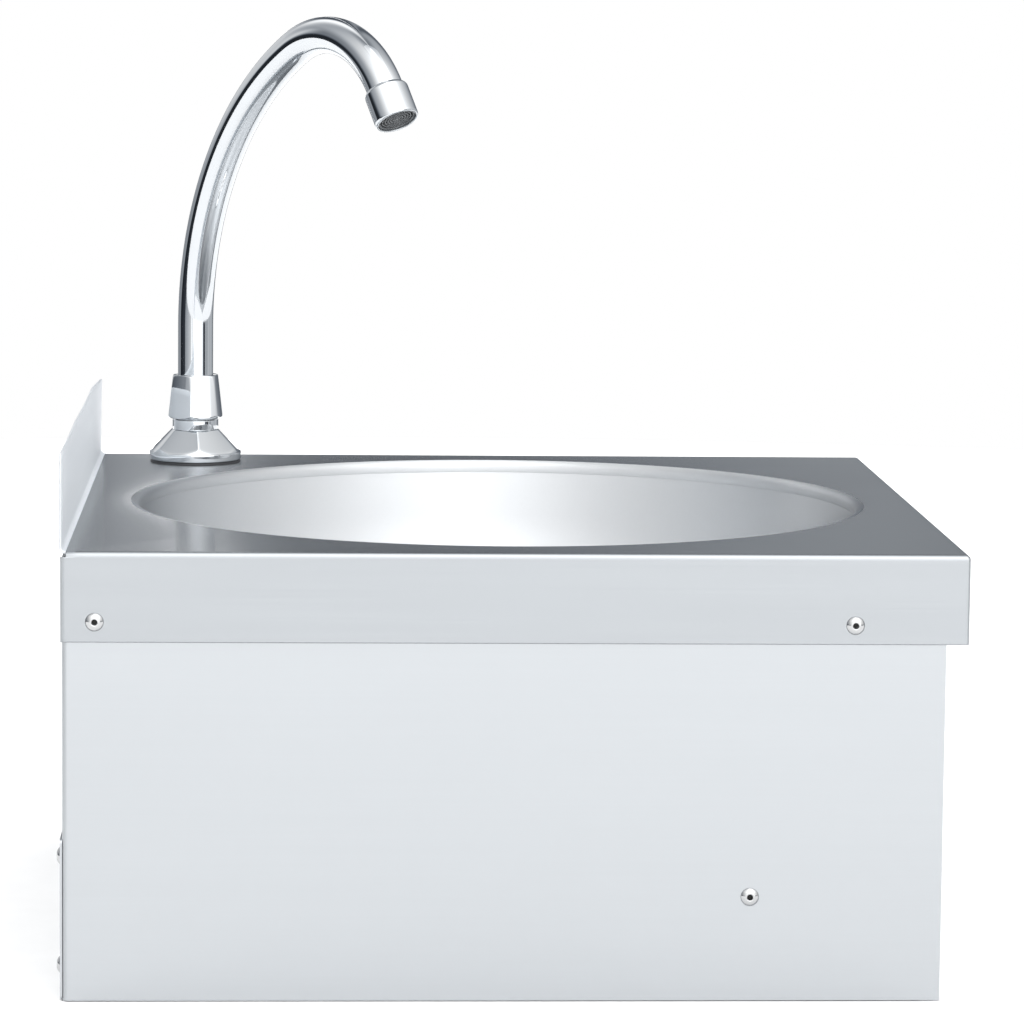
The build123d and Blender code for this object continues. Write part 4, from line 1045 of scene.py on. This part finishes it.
# ---- studio ----
scene = bpy.context.scene
scene.view_settings.view_transform = "Standard"
scene.view_settings.look = "None"
world = bpy.data.worlds.new("studio")
scene.world = world
world.use_nodes = True
world.node_tree.nodes.clear()
w = Nodes(world.node_tree)
direction = w.add("ShaderNodeTexCoord").outputs["Generated"]
parts = w.add("ShaderNodeSeparateXYZ", {"Vector": direction})
azimuth = w.math("DEGREES", w.math("ARCTAN2", parts.outputs["Y"], parts.outputs["X"]))
elevation = w.math("DEGREES", w.math("ARCSINE", parts.outputs["Z"]))


def offset_from(value, centre, period):
    """How far an angle is from another, the short way round if it's periodic."""
    offset = w.minus(value, centre)
    return w.math("WRAP", offset, 180.0, -180.0) if period else offset


def eased(value, start, end, low, high):
    """A smooth change from low to high as the value goes from start to end."""
    node = w.add("ShaderNodeMapRange", {"Value": value, "From Min": start, "From Max": end,
                                        "To Min": low, "To Max": high},
                 interpolation_type="SMOOTHSTEP")
    return node.outputs["Result"]


def bell(value, centre, width, height, period=False):
    """A smooth bump of the given height, centred on an angle in degrees."""
    offset = offset_from(value, centre, period)
    square = w.math("POWER", w.math("ABSOLUTE", w.math("DIVIDE", offset, width)), 2.0)
    return w.times(w.math("EXPONENT", w.times(square, -1.0)), height)


def band(value, centre, half, soft, height, period=False):
    """A flat-topped bump with soft edges."""
    away = w.math("ABSOLUTE", offset_from(value, centre, period))
    return eased(away, half + soft, half, 0.0, height)


# Azimuth 180 is behind the camera, 0 behind the object. Each row is a centre in degrees and its shape.
LIGHT_BEHIND_CAMERA = 195.0
FAR_LIGHTS = ((2.2, 1.1, 0.42), (1.28, 0.2, 2.6), (-7.4, 3.0, 0.24), (-55.0, 24.0, 0.32))
DARK_BANDS = ((86.0, 20.0, 3.0, 0.9), (129.0, 21.0, 3.0, 0.4), (238.0, 7.0, 3.0, 0.9),
              (256.0, 9.0, 4.0, 0.5), (282.0, 13.0, 8.0, 0.15))

# light from near the horizon
cosine = w.math("COSINE", w.math("RADIANS", w.minus(azimuth, LIGHT_BEHIND_CAMERA)))
lobe = w.math("POWER", w.math("MAXIMUM", w.math("MULTIPLY_ADD", cosine, 0.5, 0.5), 0.0), 1.5)
front = bell(azimuth, 192.0, 47.0, 0.8, period=True)
low = w.plus(w.math("MULTIPLY_ADD", lobe, 1.45, 0.11), front)
for far_light in FAR_LIGHTS:
    low = w.plus(low, bell(azimuth, *far_light))
near_horizon = eased(elevation, 0.0, 9.0, 1.0, 0.0)
sides_end = eased(elevation, 12.0, 30.0, 1.0, 0.0)
behind = w.minus(0.75, w.times(near_horizon, 0.5))
sides = w.times(band(azimuth, 40.0, 24.0, 10.0, 1.0), behind)
low = w.plus(low, w.times(sides, sides_end))
bars = bell(azimuth, 159.5, 1.4, 0.8, period=True)
for dark_band in DARK_BANDS:
    bars = w.plus(bars, band(azimuth, *dark_band, period=True))
low = w.times(low, w.minus(1.0, w.times(bars, near_horizon)))

# light from above, which starts lower or higher round the object
lift = w.plus(bell(azimuth, -2.0, 17.0, 42.0), bell(azimuth, 50.0, 22.0, -9.0))
sky = eased(w.minus(elevation, lift), 14.0, 42.0, 0.0, 1.0)
zenith = eased(elevation, 58.0, 80.0, 1.3, 0.8)
scattered = w.add("ShaderNodeLightPath").outputs["Is Diffuse Ray"]
around = w.plus(front, bell(azimuth, 24.0, 20.0, 0.95))
zenith = w.times(zenith, w.math("MULTIPLY_ADD", lobe, 1.35, w.plus(around, 0.35)))
high = w.plus(w.times(zenith, w.minus(1.0, scattered)),
              w.times(scattered, 1.9))
light = w.plus(w.times(low, w.minus(1.0, sky)), w.times(sky, high))
tint = w.ramp(light, [(0.0, (0.80, 0.94, 1.16)), (0.35, (0.93, 0.985, 1.06)), (1.0, (1.0, 1.0, 1.0))])
shade = w.add("ShaderNodeBackground", {"Color": tint, "Strength": light})
seen = w.add("ShaderNodeBackground", {"Color": (1, 1, 1, 1), "Strength": 1.0})
camera_ray = w.add("ShaderNodeLightPath").outputs["Is Camera Ray"]
mix = w.add("ShaderNodeMixShader", {"Fac": camera_ray})
w.put(mix.inputs[1], shade.outputs[0])
w.put(mix.inputs[2], seen.outputs[0])
w.add("ShaderNodeOutputWorld", {"Surface": mix.outputs[0]})

floor_material, n, floor_shader = new_material("pale_floor")
pale = [(0.3, (0.92, 0.92, 0.92)), (0.7, (0.94, 0.94, 0.94))]
n.put(floor_shader.inputs["Base Color"], n.ramp(n.noise(40.0, detail=3.0), pale))
floor_shader.inputs["Roughness"].default_value = 0.9
floor_mesh = bpy.data.meshes.new("studio_floor")
FLOOR_R, FLOOR_Z = 2.2, -0.0005
floor_mesh.from_pydata([(x, y, FLOOR_Z) for x, y in circle(FLOOR_R, 96)], [], [list(range(96))])
floor_mesh.materials.append(floor_material)
floor = bpy.data.objects.new("studio_floor", floor_mesh)
scene.collection.objects.link(floor)


softbox = bpy.data.lights.new("overhead", "AREA")
softbox.size = 1.8
softbox.energy = 4.0
overhead = bpy.data.objects.new("overhead", softbox)
overhead.location = (-0.6, -0.3, 2.4)
aim = Vector((0, 0, 0.15)) - overhead.location
overhead.rotation_euler = aim.to_track_quat("-Z", "Y").to_euler()
scene.collection.objects.link(overhead)


# ---- camera ----
camera_data = bpy.data.cameras.new("camera")
camera_data.sensor_width = 36.0
camera_data.lens = 157.55
camera_data.clip_end = 50.0
camera = bpy.data.objects.new("camera", camera_data)
CAMERA_PLACE = (-2.1428, 0.0965, 0.4532)
yaw, pitch, roll = radians(2.768), radians(6.888), radians(0.589)
ahead = Vector((cos(pitch) * cos(yaw), -cos(pitch) * sin(yaw), -sin(pitch)))
level = ahead.cross(UP).normalized()
upright = level.cross(ahead)
across = level * cos(roll) + upright * sin(roll)
above = upright * cos(roll) - level * sin(roll)
turned = Matrix((across, above, -ahead)).transposed().to_4x4()
camera.matrix_world = Matrix.Translation(CAMERA_PLACE) @ turned
scene.collection.objects.link(camera)
scene.camera = camera
